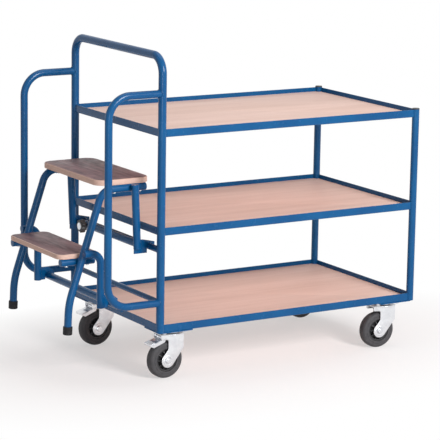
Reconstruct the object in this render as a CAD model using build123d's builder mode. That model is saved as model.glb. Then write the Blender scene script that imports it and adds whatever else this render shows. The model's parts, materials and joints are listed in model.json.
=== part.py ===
from build123d import *
import os
from math import cos, radians, sin

# Order picking trolley: three shelves on a tube frame, a push handle, four swivel casters
# and a two-step unit hung on the handle end. Millimetres, +Z up, X along the shelves with
# the steps at -X, origin on the floor under the middle of the whole object.

# Frame
frame_length = 1000.0  # post axis to post axis along X
frame_width = 600.0  # post axis to post axis along Y
rail_bottom = 170.0  # underside of the lowest rails and of the posts
shelf_pitch = 322.0  # one shelf to the next
handle_height = 1073.0  # axis of the push bar
handle_od = 26.9
post_od = 25.0
tube_wall = 2.0
handle_bend = 57.0

# Shelves
rail_height = 26.0
rail_leg = 25.0
rail_wall = 3.0
rail_outset = 5.0  # outer face of a rail beyond the post axes
board_thickness = 8.0
board_gap = 1.0  # board edge to rail
board_post_gap = 1.5
cap_thickness = 4.0
cap_plug_depth = 15.0
cap_overhang = 0.25
cap_round = 1.5
screw_shares = (0.25, 0.75)  # places of the board screws along the rails
post_above_rail = 1.0

# Guard rails and bars at the step end
guard_od = 25.0
guard_reach = 194.0  # guard upright beyond the post axes
guard_top = 955.0
guard_bottom = 270.0
guard_bend = 75.0
upper_bar_od = 21.3
upper_bar_height = 444.0
low_cross_od = 18.0
low_cross_height = 271.0
lower_bar_od = 25.0
lower_bar_reach = 140.0

# Casters
corner_plate_x = 130.0
corner_plate_y = 106.0
corner_plate_thickness = 4.0
swivel_inset_x = 73.0  # swivel axis inside the post axes
swivel_inset_y = 58.0
plate_x = 105.0
plate_y = 85.0
plate_thickness = 3.5
plate_corner = 8.0
bolt_spacing_x = 80.0
bolt_spacing_y = 60.0
bolt_d = 8.0
bolt_head_d = 15.0
bolt_head_height = 2.6
nut_across = 13.0
nut_height = 6.5
bolt_past_nut = 1.5
race_od = 64.0
race_height = 10.0
race_round = 3.0
swivel_gap = 0.4  # between the fixed race and the turning fork
kingpin_d = 12.0
kingpin_head_d = 24.0
kingpin_head_height = 5.0
running_gap = 0.05  # radial, between a shaft and its bore
fork_thickness = 3.0
fork_crown_d = 80.0
fork_inside = 46.0
fork_front = 37.0  # ends of the crown from the swivel axis
fork_back = -50.0
fork_skirt = 19.0  # depth of the crown's side flanges
fork_shin_back = -22.0  # where a leg leaves the flange
fork_shin_height = 100.0  # where the legs start to taper
fork_boss_r = 24.0
fork_dish_r = 18.0
fork_dish = 1.5
trail = 23.0  # axle behind the swivel axis
wheel_d = 124.0
tyre_inner_d = 78.0
tyre_width = 36.0
tyre_shoulder = 11.0
rim_web = 12.0
rim_flange = 30.0
rim_thickness = 6.0
hub_d = 34.0
hub_length = 44.0
bearing_d = 22.0
axle_d = 10.0
axle_head_d = 17.0
axle_head_height = 6.0
axle_nut_height = 8.0
pedal_width = 43.0
pedal_thickness = 3.0
pedal_pin_d = 6.0
pedal_barrel_d = 13.0
pedal_pin_x = -36.0  # from the swivel axis
pedal_pin_drop = 12.0  # below the fork crown's underside
pedal_reach = 56.0
pedal_tilt = 20.0
pedal_pad = 20.0
pedal_pad_thickness = 9.0
pedal_pin_stand_out = 1.5
pedal_skirt = 12.0  # depth of the pedal's side flanges
pedal_skirt_thickness = 2.0
wheel_turn_near_left = 2.0
wheel_turn_near_right = -4.0
wheel_turn_far_left = 3.0
wheel_turn_far_right = 5.0

# Step unit
step_od = 25.0
leg_inset = 100.0  # leg planes inside the post axes
outer_gap = 1.0  # rear tubes and arches beside the legs
foot_height = 175.0  # underside of the foot caps above the floor, unit hung up
foot_x = -286.0  # all step unit X values count from the left post axes
knee_x = -282.0
knee_height = 275.0
knee_bend = 260.0
shoulder_x = -161.0
shoulder_bend = 52.0
run_height = 640.0
run_end_x = -5.0
foot_cap_od = 31.0
foot_cap_length = 27.0
foot_cap_floor = 4.0
foot_cap_round = 3.0
upper_step_front = -180.0
upper_step_back = 16.0
upper_step_past_legs = 5.0  # board edge beyond the leg axes
upper_step_thickness = 18.0
upper_step_corner = 38.0
lower_step_front = -310.0
lower_step_back = -168.0
lower_step_side_gap = 2.5  # board edge inside the legs
lower_step_thickness = 15.0
lower_step_corner = 26.0
step_edge_round = 4.0
lower_step_top = 435.0
support_front = -300.0
support_back = -180.0
rear_top_x = -56.0
rear_bottom_x = -46.0
rear_bottom_height = 440.0
cross_bar_gap = 1.05  # cross tube behind the upper bar
cross_height = 447.0
arch_x = -180.0
arch_start_x = -240.0
arch_height = 440.0
arch_bend = 38.0
arch_bottom = 258.0
hook_thickness = 5.0
hook_gap = 0.4  # round the bars
upper_hook_back = -58.0
upper_hook_front = 17.0
upper_hook_bottom = 424.0
upper_hook_lip = 429.0
upper_hook_top = 469.0
upper_hook_slope_x = -25.0
upper_hook_tip_top = 459.5
lower_hook_back = -192.0
lower_hook_lip_thickness = 9.0
lower_hook_bottom = 257.0
lower_hook_top = 300.0
knob_inset = 74.0  # inside the planes of the rear tubes
knob_d = 46.0
knob_thickness = 18.0
knob_lobes = 7
knob_lobe_r = 6.0
knob_neck_d = 20.0
knob_neck = 5.0
knob_cap_d = 25.0
knob_cap_height = 2.0
screw_d = 8.0
screw_tip_gap = 0.4
pan_head_d = 8.0
pan_head_height = 2.2
pan_screw_d = 4.0
pan_screw_in_board = 6.0
step_screw_d = 6.0
step_screw_head_d = 11.0
step_screw_head_height = 3.5
step_screw_in_board = 10.0
upper_screw_front = -118.0
upper_screw_back = -24.0
lower_screw_front = -278.0
lower_screw_back = -202.0

# Worked out from the sizes above
left_x = (-lower_step_front - frame_length - post_od / 2 - cap_overhang) / 2
right_x = left_x + frame_length
half_width = frame_width / 2
shelf_base = [rail_bottom + level * shelf_pitch for level in range(3)]
post_top = shelf_base[2] + rail_height + post_above_rail
corner_plate_base = rail_bottom - corner_plate_thickness
plate_base = corner_plate_base - plate_thickness
race_base = plate_base - race_height
crown_top = race_base - swivel_gap
crown_base = crown_top - fork_thickness
pedal_pin_height = crown_base - pedal_pin_drop
wheel_r = wheel_d / 2
fork_outside = fork_inside + 2 * fork_thickness
lower_bar_x = left_x - lower_bar_reach
leg_y = half_width - leg_inset
outer_y = leg_y + step_od + outer_gap
cross_x = -step_od / 2 - upper_bar_od / 2 - cross_bar_gap
knob_y = outer_y - knob_inset
upper_step_width = 2 * (leg_y + upper_step_past_legs)
lower_step_width = 2 * (leg_y - step_od / 2 - lower_step_side_gap)
board_under_upper = run_height + step_od / 2
board_under_lower = lower_step_top - lower_step_thickness
support_height = board_under_lower - step_od / 2
support_y = leg_y - step_od


def at_left(x):
    """X of a place given from the left post axes."""
    return left_x + x


def export(piece, name):
    """Label one finished piece and write it."""
    piece.label = name
    export_step(piece, f"parts/{name}.step")


def tube(points, outer, bends=None, solid=False):
    """Round tube swept along straight runs joined by arcs, or its solid envelope."""
    with BuildPart() as swept:
        with BuildLine() as route:
            if bends is None:
                Line(*points)
            else:
                FilletPolyline(*points, radius=bends)
        with BuildSketch(Plane(origin=route.line @ 0, z_dir=route.line % 0)):
            Circle(outer / 2)
            if not solid:
                Circle(outer / 2 - tube_wall, mode=Mode.SUBTRACT)
        sweep()
    return swept.part


def rod(start, end, diameter):
    """Solid round bar between two points."""
    axis = Vector(*end) - Vector(*start)
    with BuildPart() as bar:
        with BuildSketch(Plane(origin=start, z_dir=axis)):
            Circle(diameter / 2)
        extrude(amount=axis.length)
    return bar.part


def cut(piece, *tools):
    """The piece with the tools taken out of it."""
    with BuildPart() as result:
        add(piece)
        for tool in tools:
            add(tool, mode=Mode.SUBTRACT)
    return result.part


def together(*pieces):
    """Separate solids in one node."""
    return Compound(children=list(pieces))


def post_envelope(x, y, diameter, top):
    """Solid cylinder as large as a post, to cope what meets it."""
    return rod((x, y, rail_bottom), (x, y, top), diameter)


os.makedirs("parts", exist_ok=True)
sides = {"near": -1, "far": 1}
post_ys = [side * half_width for side in sides.values()]
left_posts = [post_envelope(left_x, y, handle_od, handle_height - handle_bend) for y in post_ys]
right_posts = [post_envelope(right_x, y, post_od, post_top) for y in post_ys]
all_posts = left_posts + right_posts

# Push handle and left posts, one bent tube
handle_frame = tube(
    [
        (left_x, -half_width, rail_bottom),
        (left_x, -half_width, handle_height),
        (left_x, half_width, handle_height),
        (left_x, half_width, rail_bottom),
    ],
    handle_od,
    handle_bend,
)
export(handle_frame, "handle_frame")

# Right posts and their flat caps
caps = []
for side_name, side in sides.items():
    y = side * half_width
    post = tube([(right_x, y, rail_bottom), (right_x, y, post_top)], post_od)
    export(post, f"right_post_{side_name}")
    with BuildPart() as cap:
        with BuildSketch(Plane((right_x, y, post_top))):
            Circle(post_od / 2 + cap_overhang)
        extrude(amount=cap_thickness)
        fillet(cap.faces().sort_by(Axis.Z)[-1].edges(), cap_round)
        with BuildSketch(Plane((right_x, y, post_top))):
            Circle(post_od / 2 - tube_wall)
        extrude(amount=-cap_plug_depth)
    caps.append(cap.part)
export(together(*caps), "post_caps")


def corner(width, index):
    """Corner of the shelf outline, moved inwards by a width."""
    x, side = [(left_x, -1), (right_x, -1), (right_x, 1), (left_x, 1)][index % 4]
    out = rail_outset - width
    return (x + (out if x > left_x else -out), side * (half_width + out))


def rail(base, index):
    """One angle rail of a shelf, rim outside, mitred at its ends and coped to the posts."""
    with BuildPart() as angle:
        for width, height in ((rail_leg, rail_wall), (rail_wall, rail_height)):
            with BuildSketch(Plane.XY.offset(base)):
                with BuildLine():
                    outer = [corner(0, index), corner(0, index + 1)]
                    Polyline(*outer, corner(width, index + 1), corner(width, index), close=True)
                make_face()
            extrude(amount=height)
        for post in all_posts:
            add(post, mode=Mode.SUBTRACT)
    return angle.part


def shelf_board(base):
    """Board lying on the rails' inner legs, notched round the posts."""
    inset = 2 * (rail_outset - rail_wall - board_gap)
    with BuildPart() as board:
        with BuildSketch(Plane(((left_x + right_x) / 2, 0, base))):
            Rectangle(frame_length + inset, frame_width + inset)
        extrude(amount=board_thickness)
        for x, diameter in ((left_x, handle_od), (right_x, post_od)):
            for side in (-1, 1):
                with BuildSketch(Plane((x, side * half_width, base))):
                    Circle(diameter / 2 + board_post_gap)
                extrude(amount=board_thickness, mode=Mode.SUBTRACT)
    return board.part


def pan_screw(x, y, head_z, length, shank_d, head_d, head_height):
    """Screw driven upwards, its head under the given height."""
    with BuildPart() as screw:
        with BuildSketch(Plane((x, y, head_z))):
            Circle(head_d / 2)
        extrude(amount=-head_height)
        chamfer(screw.faces().sort_by(Axis.Z)[0].edges(), head_height / 3)
        with BuildSketch(Plane((x, y, head_z))):
            Circle(shank_d / 2)
        extrude(amount=length)
    return screw.part


# Three shelves: four angle rails and a board each, screwed from below
shelf_screws = []
for level_name, base in zip(("lower", "middle", "upper"), shelf_base):
    screws = [
        pan_screw(
            left_x + frame_length * share,
            side * (half_width + rail_outset - rail_leg / 2),
            base,
            rail_wall + pan_screw_in_board,
            pan_screw_d,
            pan_head_d,
            pan_head_height,
        )
        for share in screw_shares
        for side in (-1, 1)
    ]
    rails = [cut(rail(base, index), *screws) for index in range(4)]
    export(together(*rails), f"{level_name}_shelf_rails")
    export(cut(shelf_board(base + rail_wall), *screws), f"{level_name}_shelf_board")
    shelf_screws += screws
export(together(*shelf_screws), "shelf_screws")

# Guard rails outside the left posts, and the bars of the step end
guard_envelopes = []
for side_name, side in sides.items():
    y = side * half_width
    loop = [
        (left_x, y, guard_top),
        (at_left(-guard_reach), y, guard_top),
        (at_left(-guard_reach), y, guard_bottom),
        (left_x, y, guard_bottom),
    ]
    export(cut(tube(loop, guard_od, guard_bend), *left_posts), f"guard_rail_{side_name}")
    guard_envelopes.append(tube(loop, guard_od, guard_bend, solid=True))
for name, x, height, diameter in (
    ("upper_bar", left_x, upper_bar_height, upper_bar_od),
    ("low_cross_tube", left_x, low_cross_height, low_cross_od),
    ("lower_bar", lower_bar_x, guard_bottom, lower_bar_od),
):
    bar = tube([(x, -half_width, height), (x, half_width, height)], diameter)
    export(cut(bar, *left_posts, *guard_envelopes), name)

# Casters: fixed plates, bolts, races and kingpins first
caster_places = {
    "near_left": (left_x + swivel_inset_x, -half_width + swivel_inset_y, wheel_turn_near_left),
    "near_right": (right_x - swivel_inset_x, -half_width + swivel_inset_y, wheel_turn_near_right),
    "far_left": (left_x + swivel_inset_x, half_width - swivel_inset_y, wheel_turn_far_left),
    "far_right": (right_x - swivel_inset_x, half_width - swivel_inset_y, wheel_turn_far_right),
}
corner_plates, top_plates, bolts, nuts, races, kingpins = [], [], [], [], [], []
for place, (x, y, turn) in caster_places.items():
    toward_x = 1 if x > 0 else -1
    toward_y = 1 if y > 0 else -1
    outer = (x + toward_x * (swivel_inset_x + rail_outset), y + toward_y * (swivel_inset_y + rail_outset))
    middle = (outer[0] - toward_x * corner_plate_x / 2, outer[1] - toward_y * corner_plate_y / 2)
    with BuildPart() as corner_plate:
        with BuildSketch(Plane((*middle, corner_plate_base))):
            Rectangle(corner_plate_x, corner_plate_y)
        extrude(amount=corner_plate_thickness)
        fillet(corner_plate.edges().filter_by(Axis.Z), plate_corner)
        with BuildSketch(Plane((x, y, corner_plate_base))):
            with GridLocations(bolt_spacing_x, bolt_spacing_y, 2, 2):
                Circle(bolt_d / 2)
        extrude(amount=corner_plate_thickness, mode=Mode.SUBTRACT)
    corner_plates.append(corner_plate.part)
    with BuildPart() as top_plate:
        with BuildSketch(Plane((x, y, plate_base))):
            RectangleRounded(plate_x, plate_y, plate_corner)
            with GridLocations(bolt_spacing_x, bolt_spacing_y, 2, 2):
                Circle(bolt_d / 2, mode=Mode.SUBTRACT)
            Circle(kingpin_d / 2, mode=Mode.SUBTRACT)
        extrude(amount=plate_thickness)
    top_plates.append(top_plate.part)
    with BuildPart() as race:
        with BuildSketch(Plane((x, y, race_base))):
            Circle(race_od / 2)
            Circle(kingpin_d / 2, mode=Mode.SUBTRACT)
        extrude(amount=race_height)
        rim_edges = race.faces().sort_by(Axis.Z)[0].edges().sort_by(SortBy.RADIUS)
        fillet(rim_edges[-1], race_round)
    races.append(race.part)
    with BuildPart() as kingpin:
        with BuildSketch(Plane((x, y, plate_base + plate_thickness))):
            Circle(kingpin_d / 2)
        extrude(amount=-(plate_thickness + race_height + swivel_gap + fork_thickness + swivel_gap))
        with BuildSketch(Plane((x, y, crown_base - swivel_gap))):
            Circle(kingpin_head_d / 2)
        extrude(amount=-kingpin_head_height)
        fillet(kingpin.faces().sort_by(Axis.Z)[0].edges(), kingpin_head_height / 2)
    kingpins.append(kingpin.part)
    for step_x in (-bolt_spacing_x / 2, bolt_spacing_x / 2):
        for step_y in (-bolt_spacing_y / 2, bolt_spacing_y / 2):
            hole = (x + step_x, y + step_y)
            with BuildPart() as bolt:
                with BuildSketch(Plane((*hole, rail_bottom))):
                    Circle(bolt_head_d / 2)
                extrude(amount=bolt_head_height)
                fillet(bolt.faces().sort_by(Axis.Z)[-1].edges(), bolt_head_height / 2)
                with BuildSketch(Plane((*hole, rail_bottom))):
                    Circle(bolt_d / 2)
                extrude(amount=-(corner_plate_thickness + plate_thickness + nut_height + bolt_past_nut))
            bolts.append(bolt.part)
            with BuildPart() as nut:
                with BuildSketch(Plane((*hole, plate_base))):
                    RegularPolygon(nut_across / 2, 6, major_radius=False)
                    Circle(bolt_d / 2, mode=Mode.SUBTRACT)
                extrude(amount=-nut_height)
            nuts.append(nut.part)
export(together(*corner_plates), "corner_plates")
export(together(*top_plates), "caster_top_plates")
export(together(*races), "swivel_races")
export(together(*kingpins), "kingpins")
export(together(*bolts, *nuts), "caster_bolts")


def caster_frame(x, y, turn):
    """Plane on the floor under a swivel axis, its -X pointing the way the wheel trails."""
    heading = radians(turn)
    return Plane(origin=(x, y, 0), x_dir=(cos(heading), sin(heading), 0), z_dir=(0, 0, 1))


def side_plane(frame, offset):
    """Upright plane along the caster, its sketches grow towards the caster's -Y."""
    return Plane(origin=frame.from_local_coords((0, offset, 0)), x_dir=frame.x_dir, z_dir=-frame.y_dir)


def wheel_plane(frame):
    """Half section of the wheel: X along the axle, Y the radius."""
    return Plane(origin=frame.from_local_coords((-trail, 0, wheel_r)), x_dir=frame.y_dir, z_dir=frame.x_dir)


def caster_fork(frame, braked):
    """Pressed fork: round crown, side flanges and two legs down to dished axle bosses."""
    with BuildPart() as fork:
        with BuildSketch(Plane(origin=frame.from_local_coords((0, 0, crown_base)), x_dir=frame.x_dir)):
            Circle(fork_crown_d / 2)
            with Locations(((fork_front + fork_back) / 2, 0)):
                Rectangle(fork_front - fork_back, fork_outside)
        extrude(amount=fork_thickness)
        for offset in (fork_outside / 2, -fork_inside / 2):
            with BuildSketch(side_plane(frame, offset)):
                with Locations(((fork_front + fork_back) / 2, crown_top - fork_skirt / 2)):
                    Rectangle(fork_front - fork_back, fork_skirt)
            extrude(amount=fork_thickness)
            with BuildSketch(side_plane(frame, offset)):
                with BuildLine():
                    Line((fork_shin_back, fork_shin_height), (fork_front, fork_shin_height))
                    CenterArc((-trail, wheel_r), fork_boss_r, 0, 360)
                make_hull()
                with Locations(((fork_shin_back + fork_front) / 2, (fork_shin_height + crown_top) / 2)):
                    Rectangle(fork_front - fork_shin_back, crown_top - fork_shin_height)
            extrude(amount=fork_thickness)
        for offset in (fork_outside / 2 + fork_dish, -fork_outside / 2):
            with BuildSketch(side_plane(frame, offset)):
                with Locations((-trail, wheel_r)):
                    Circle(fork_dish_r)
            extrude(amount=fork_dish)
        with BuildSketch(side_plane(frame, fork_outside)):
            with Locations((-trail, wheel_r)):
                Circle(axle_d / 2)
            if braked:
                with Locations((pedal_pin_x, pedal_pin_height)):
                    Circle(pedal_pin_d / 2)
        extrude(amount=2 * fork_outside, mode=Mode.SUBTRACT)
        with BuildSketch(Plane(origin=frame.from_local_coords((0, 0, crown_base)))):
            Circle(kingpin_d / 2 + running_gap)
        extrude(amount=fork_thickness, mode=Mode.SUBTRACT)
    return fork.part


def axle_bolt(frame):
    """Hexagon bolt through fork and bearing, with its nut as a second solid."""
    reach = fork_outside / 2 + fork_dish
    with BuildPart() as bolt:
        with BuildSketch(side_plane(frame, -reach)):
            with Locations((-trail, wheel_r)):
                RegularPolygon(axle_head_d / 2, 6, major_radius=False)
        extrude(amount=axle_head_height)
        with BuildSketch(side_plane(frame, -reach)):
            with Locations((-trail, wheel_r)):
                Circle(axle_d / 2)
        extrude(amount=-(2 * reach + axle_nut_height + bolt_past_nut))
    with BuildPart() as nut:
        with BuildSketch(side_plane(frame, reach + axle_nut_height)):
            with Locations((-trail, wheel_r)):
                RegularPolygon(axle_head_d / 2, 6, major_radius=False)
                Circle(axle_d / 2, mode=Mode.SUBTRACT)
        extrude(amount=axle_nut_height)
    return [bolt.part, nut.part]


def ring_about_axle(frame, sections, rounding=None):
    """Solid of revolution about the axle from (width, inner radius, outer radius) bands."""
    with BuildPart() as turned:
        with BuildSketch(wheel_plane(frame)) as profile:
            for width, inner, outer in sections:
                with Locations((0, (inner + outer) / 2)):
                    Rectangle(width, outer - inner)
            if rounding:
                fillet(profile.vertices().group_by(Axis.Y)[-1], rounding)
        revolve(axis=Axis(wheel_plane(frame).origin, frame.y_dir))
    return turned.part


def brake_pedal(frame):
    """Sloping lever with a thick foot pad, its barrel turning on the pedal pin."""
    pin = (pedal_pin_x, pedal_pin_height)
    with BuildPart() as pedal:
        with BuildSketch(side_plane(frame, pedal_width / 2)):
            with Locations(Location((*pin, 0), (0, 0, pedal_tilt))):
                Rectangle(pedal_reach, pedal_thickness, align=(Align.MAX, Align.CENTER))
                with Locations((-pedal_reach, 0)):
                    Rectangle(pedal_pad, pedal_pad_thickness, align=(Align.MIN, Align.CENTER))
            with Locations(pin):
                Circle(pedal_barrel_d / 2)
                Circle(pedal_pin_d / 2 + running_gap, mode=Mode.SUBTRACT)
        extrude(amount=pedal_width)
        for offset in (pedal_width / 2, pedal_skirt_thickness - pedal_width / 2):
            with BuildSketch(side_plane(frame, offset)):
                with Locations(Location((*pin, 0), (0, 0, pedal_tilt))):
                    Rectangle(pedal_reach, pedal_skirt, align=(Align.MAX, Align.MAX))
                with Locations(pin):
                    Circle(pedal_pin_d / 2 + running_gap, mode=Mode.SUBTRACT)
            extrude(amount=pedal_skirt_thickness)
    return pedal.part


for place, (x, y, turn) in caster_places.items():
    frame = caster_frame(x, y, turn)
    braked = place.endswith("left")
    hub_r = hub_d / 2
    seat_r = tyre_inner_d / 2
    export(caster_fork(frame, braked), f"{place}_fork")
    axle = axle_bolt(frame)
    bands = [
        (hub_length, bearing_d / 2, hub_r),
        (rim_web, hub_r, seat_r - rim_thickness),
        (rim_flange, seat_r - rim_thickness, seat_r),
    ]
    export(ring_about_axle(frame, bands), f"{place}_wheel_centre")
    export(ring_about_axle(frame, [(hub_length, axle_d / 2 + running_gap, bearing_d / 2)]), f"{place}_bearing")
    export(ring_about_axle(frame, [(tyre_width, seat_r, wheel_r)], tyre_shoulder), f"{place}_tyre")
    if braked:
        export(brake_pedal(frame), f"{place}_brake_pedal")
        pin_end = fork_outside / 2 + pedal_pin_stand_out
        ends = [frame.from_local_coords((pedal_pin_x, reach, pedal_pin_height)) for reach in (-pin_end, pin_end)]
        axle.append(rod(*ends, pedal_pin_d))
    export(together(*axle), f"{place}_axle")


def step_board(front, back, width, base, thickness, corner_r):
    """Plywood step with rounded corners and eased edges."""
    with BuildPart() as board:
        with BuildSketch(Plane((at_left((front + back) / 2), 0, base))):
            RectangleRounded(back - front, width, corner_r)
        extrude(amount=thickness)
        fillet(board.faces().group_by(Axis.Z)[-1].edges(), step_edge_round)
    return board.part


def hook(outline, y, bar_centre, bar_d):
    """Upright plate with a slot, open downwards, that sits over a bar."""
    with BuildPart() as plate:
        with BuildSketch(Plane(origin=(0, y, 0), x_dir=(1, 0, 0), z_dir=(0, -1, 0))):
            with BuildLine():
                Polyline(*outline, close=True)
            make_face()
            with Locations(bar_centre):
                Circle(bar_d / 2 + hook_gap, mode=Mode.SUBTRACT)
            with Locations(bar_centre):
                Rectangle(
                    bar_d + 2 * hook_gap, bar_centre[1], align=(Align.CENTER, Align.MAX), mode=Mode.SUBTRACT
                )
        extrude(amount=hook_thickness / 2, both=True)
    return plate.part


# Step unit: legs, hooks, rear tubes, arches and boards
cross_reach = outer_y - hook_thickness / 2
cross_ends = [(at_left(cross_x), side * cross_reach, cross_height) for side in (-1, 1)]
cross_envelope = rod(*cross_ends, step_od)
upper_hooks, lower_hooks, foot_caps, supports = [], [], [], []
step_screws = [
    pan_screw(
        at_left(x),
        side * y,
        height - step_od / 2,
        step_od + step_screw_in_board,
        step_screw_d,
        step_screw_head_d,
        step_screw_head_height,
    )
    for x, y, height in (
        (upper_screw_front, leg_y, run_height),
        (upper_screw_back, leg_y, run_height),
        (lower_screw_front, support_y, support_height),
        (lower_screw_back, support_y, support_height),
    )
    for side in sides.values()
]
export(together(*step_screws), "step_screws")
for side_name, side in sides.items():
    y = side * leg_y
    outer = side * outer_y
    foot = Vector(at_left(foot_x), y, foot_height + foot_cap_floor)
    knee = Vector(at_left(knee_x), y, knee_height)
    leg = tube(
        [tuple(foot), tuple(knee), (at_left(shoulder_x), y, run_height), (at_left(run_end_x), y, run_height)],
        step_od,
        [knee_bend, shoulder_bend],
    )
    export(cut(leg, *step_screws), f"leg_tube_{side_name}")
    along = (knee - foot).normalized()
    with BuildPart() as foot_cap:
        with BuildSketch(Plane(origin=foot - along * foot_cap_floor, z_dir=along)):
            Circle(foot_cap_od / 2)
        extrude(amount=foot_cap_length)
        fillet(foot_cap.faces().sort_by(Axis.Z)[0].edges(), foot_cap_round)
        with BuildSketch(Plane(origin=foot, z_dir=along)):
            Circle(step_od / 2)
        extrude(amount=foot_cap_length, mode=Mode.SUBTRACT)
    foot_caps.append(foot_cap.part)
    support_ends = [(at_left(x), side * support_y, support_height) for x in (support_front, support_back)]
    supports.append(cut(tube(support_ends, step_od), *step_screws))
    upper_outline = [
        (at_left(upper_hook_back), upper_hook_bottom),
        (left_x - upper_bar_od / 2 - hook_gap, upper_hook_bottom),
        (left_x, upper_hook_lip),
        (at_left(upper_hook_front), upper_hook_lip),
        (at_left(upper_hook_front), upper_hook_tip_top),
        (at_left(upper_hook_slope_x), upper_hook_top),
        (at_left(upper_hook_back), upper_hook_top),
    ]
    upper_hook = hook(upper_outline, outer, (left_x, upper_bar_height), upper_bar_od)
    upper_hooks.append(upper_hook)
    lip_x = lower_bar_x + lower_bar_od / 2 + hook_gap + lower_hook_lip_thickness
    lower_outline = [
        (at_left(lower_hook_back), lower_hook_bottom),
        (lip_x, lower_hook_bottom),
        (lip_x, guard_bottom + lower_bar_od / 2),
        (lower_bar_x, lower_hook_top),
        (at_left(lower_hook_back), lower_hook_top),
    ]
    lower_hook = hook(lower_outline, outer, (lower_bar_x, guard_bottom), lower_bar_od)
    lower_hooks.append(lower_hook)
    rear_ends = [(at_left(rear_top_x), outer, board_under_upper), (at_left(rear_bottom_x), outer, rear_bottom_height)]
    rear = tube(rear_ends, step_od)
    export(cut(rear, upper_hook, cross_envelope), f"rear_tube_{side_name}")
    arch = tube(
        [
            (at_left(arch_start_x), outer, arch_height),
            (at_left(arch_x), outer, arch_height),
            (at_left(arch_x), outer, arch_bottom),
        ],
        step_od,
        arch_bend,
    )
    export(cut(arch, lower_hook), f"arch_{side_name}")
export(together(*foot_caps), "foot_caps")
export(together(*supports), "step_supports")
export(together(*upper_hooks), "upper_hooks")
export(together(*lower_hooks), "lower_hooks")
upper_step = step_board(
    upper_step_front, upper_step_back, upper_step_width, board_under_upper, upper_step_thickness, upper_step_corner
)
lower_step = step_board(
    lower_step_front, lower_step_back, lower_step_width, board_under_lower, lower_step_thickness, lower_step_corner
)
export(cut(upper_step, *step_screws), "upper_step")
export(cut(lower_step, *step_screws), "lower_step")

# Rear cross tube between the hook plates, and the clamp screw through it
screw_start = at_left(0) - upper_bar_od / 2 - screw_tip_gap
knob_back = at_left(cross_x) - step_od / 2 - knob_neck
bore = rod((screw_start, knob_y, cross_height), (knob_back, knob_y, cross_height), screw_d + 2 * running_gap)
export(cut(tube(cross_ends, step_od), bore), "rear_cross_tube")
export(rod((screw_start, knob_y, cross_height), (knob_back, knob_y, cross_height), screw_d), "clamp_screw")
with BuildPart() as knob:
    knob_plane = Plane(origin=(knob_back, knob_y, cross_height), z_dir=(-1, 0, 0))
    with BuildSketch(knob_plane):
        Circle(knob_d / 2 - knob_lobe_r / 2)
        with PolarLocations(knob_d / 2 - knob_lobe_r, knob_lobes):
            Circle(knob_lobe_r)
    extrude(amount=knob_thickness)
export(knob.part, "clamp_knob")
with BuildPart() as knob_cap:
    with BuildSketch(knob_plane.offset(knob_thickness)):
        Circle(knob_cap_d / 2)
    extrude(amount=knob_cap_height)
    fillet(knob_cap.faces().sort_by(Axis.X)[0].edges(), knob_cap_height / 2)
export(knob_cap.part, "clamp_knob_cap")
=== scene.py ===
"""Order picking trolley with a hang-on step unit: every visible piece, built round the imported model.

Metres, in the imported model's frame: +X along the shelves away from the steps, +Y towards the
far long side, +Z up, the floor at zero. Each class is one sub-assembly: its fields are sizes,
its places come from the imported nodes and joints, and its methods build and dress the meshes.
"""

import json
import logging
import math
from dataclasses import dataclass, field
from enum import Enum
from functools import cached_property

import bpy
import numpy as np
from mathutils import Matrix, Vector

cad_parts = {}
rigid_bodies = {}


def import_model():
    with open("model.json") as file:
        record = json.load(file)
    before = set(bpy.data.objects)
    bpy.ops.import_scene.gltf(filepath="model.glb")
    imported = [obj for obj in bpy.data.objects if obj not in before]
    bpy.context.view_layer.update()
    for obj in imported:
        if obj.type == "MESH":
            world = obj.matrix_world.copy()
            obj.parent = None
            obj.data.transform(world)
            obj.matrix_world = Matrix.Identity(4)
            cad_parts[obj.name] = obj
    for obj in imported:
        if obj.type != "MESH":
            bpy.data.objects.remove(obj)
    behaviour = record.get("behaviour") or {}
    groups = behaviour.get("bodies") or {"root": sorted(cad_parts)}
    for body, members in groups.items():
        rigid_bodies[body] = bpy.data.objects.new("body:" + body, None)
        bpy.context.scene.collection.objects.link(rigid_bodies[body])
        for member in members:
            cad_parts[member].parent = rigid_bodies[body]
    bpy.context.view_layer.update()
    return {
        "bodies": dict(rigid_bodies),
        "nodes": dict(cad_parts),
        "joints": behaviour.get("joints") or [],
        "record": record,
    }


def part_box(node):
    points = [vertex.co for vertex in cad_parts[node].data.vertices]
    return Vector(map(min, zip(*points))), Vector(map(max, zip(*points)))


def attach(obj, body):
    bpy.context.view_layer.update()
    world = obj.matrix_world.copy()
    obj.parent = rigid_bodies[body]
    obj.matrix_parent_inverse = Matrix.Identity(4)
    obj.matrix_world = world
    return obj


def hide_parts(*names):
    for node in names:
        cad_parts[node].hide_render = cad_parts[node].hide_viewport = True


Array = np.ndarray
Rows = Array | list
Socket = bpy.types.NodeSocket
log = logging.getLogger("trolley")
X, Y, Z = np.eye(3)
PHOTO_SIDE = 440
WHITE = (1, 1, 1, 1)
TUBE_WALL = 0.002
OPEN_DEPTH = 0.03
RING_BEAD = 0.0022


class Slot(Enum):
    """Material slots of the record."""

    PAINT = "blue_paint"
    BEECH = "beech_board"
    STEP = "step_plywood"
    RUBBER = "black_rubber"
    TYRE = "grey_tyre"
    PLASTIC = "black_plastic"
    PRESSED = "zinc_plate"
    FASTENER = "zinc_fastener"


class End(Enum):
    """How the end of a tube is finished."""

    OPEN = "open"
    CLOSED = "closed"
    BURIED = "buried"


# Small geometry helpers


def unit(vector: Array) -> Array:
    """The vector, or each row of it, at length one."""
    return vector / np.linalg.norm(vector, axis=-1, keepdims=True)


def point(*values: float) -> Array:
    """A point from its coordinates."""
    return np.array(values, float)


def box(node: str) -> tuple[Array, Array]:
    """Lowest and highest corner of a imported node.

    Args:
        node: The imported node's name.

    Returns:
        The two corners.
    """
    low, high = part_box(node)
    return np.array(low), np.array(high)


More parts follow.
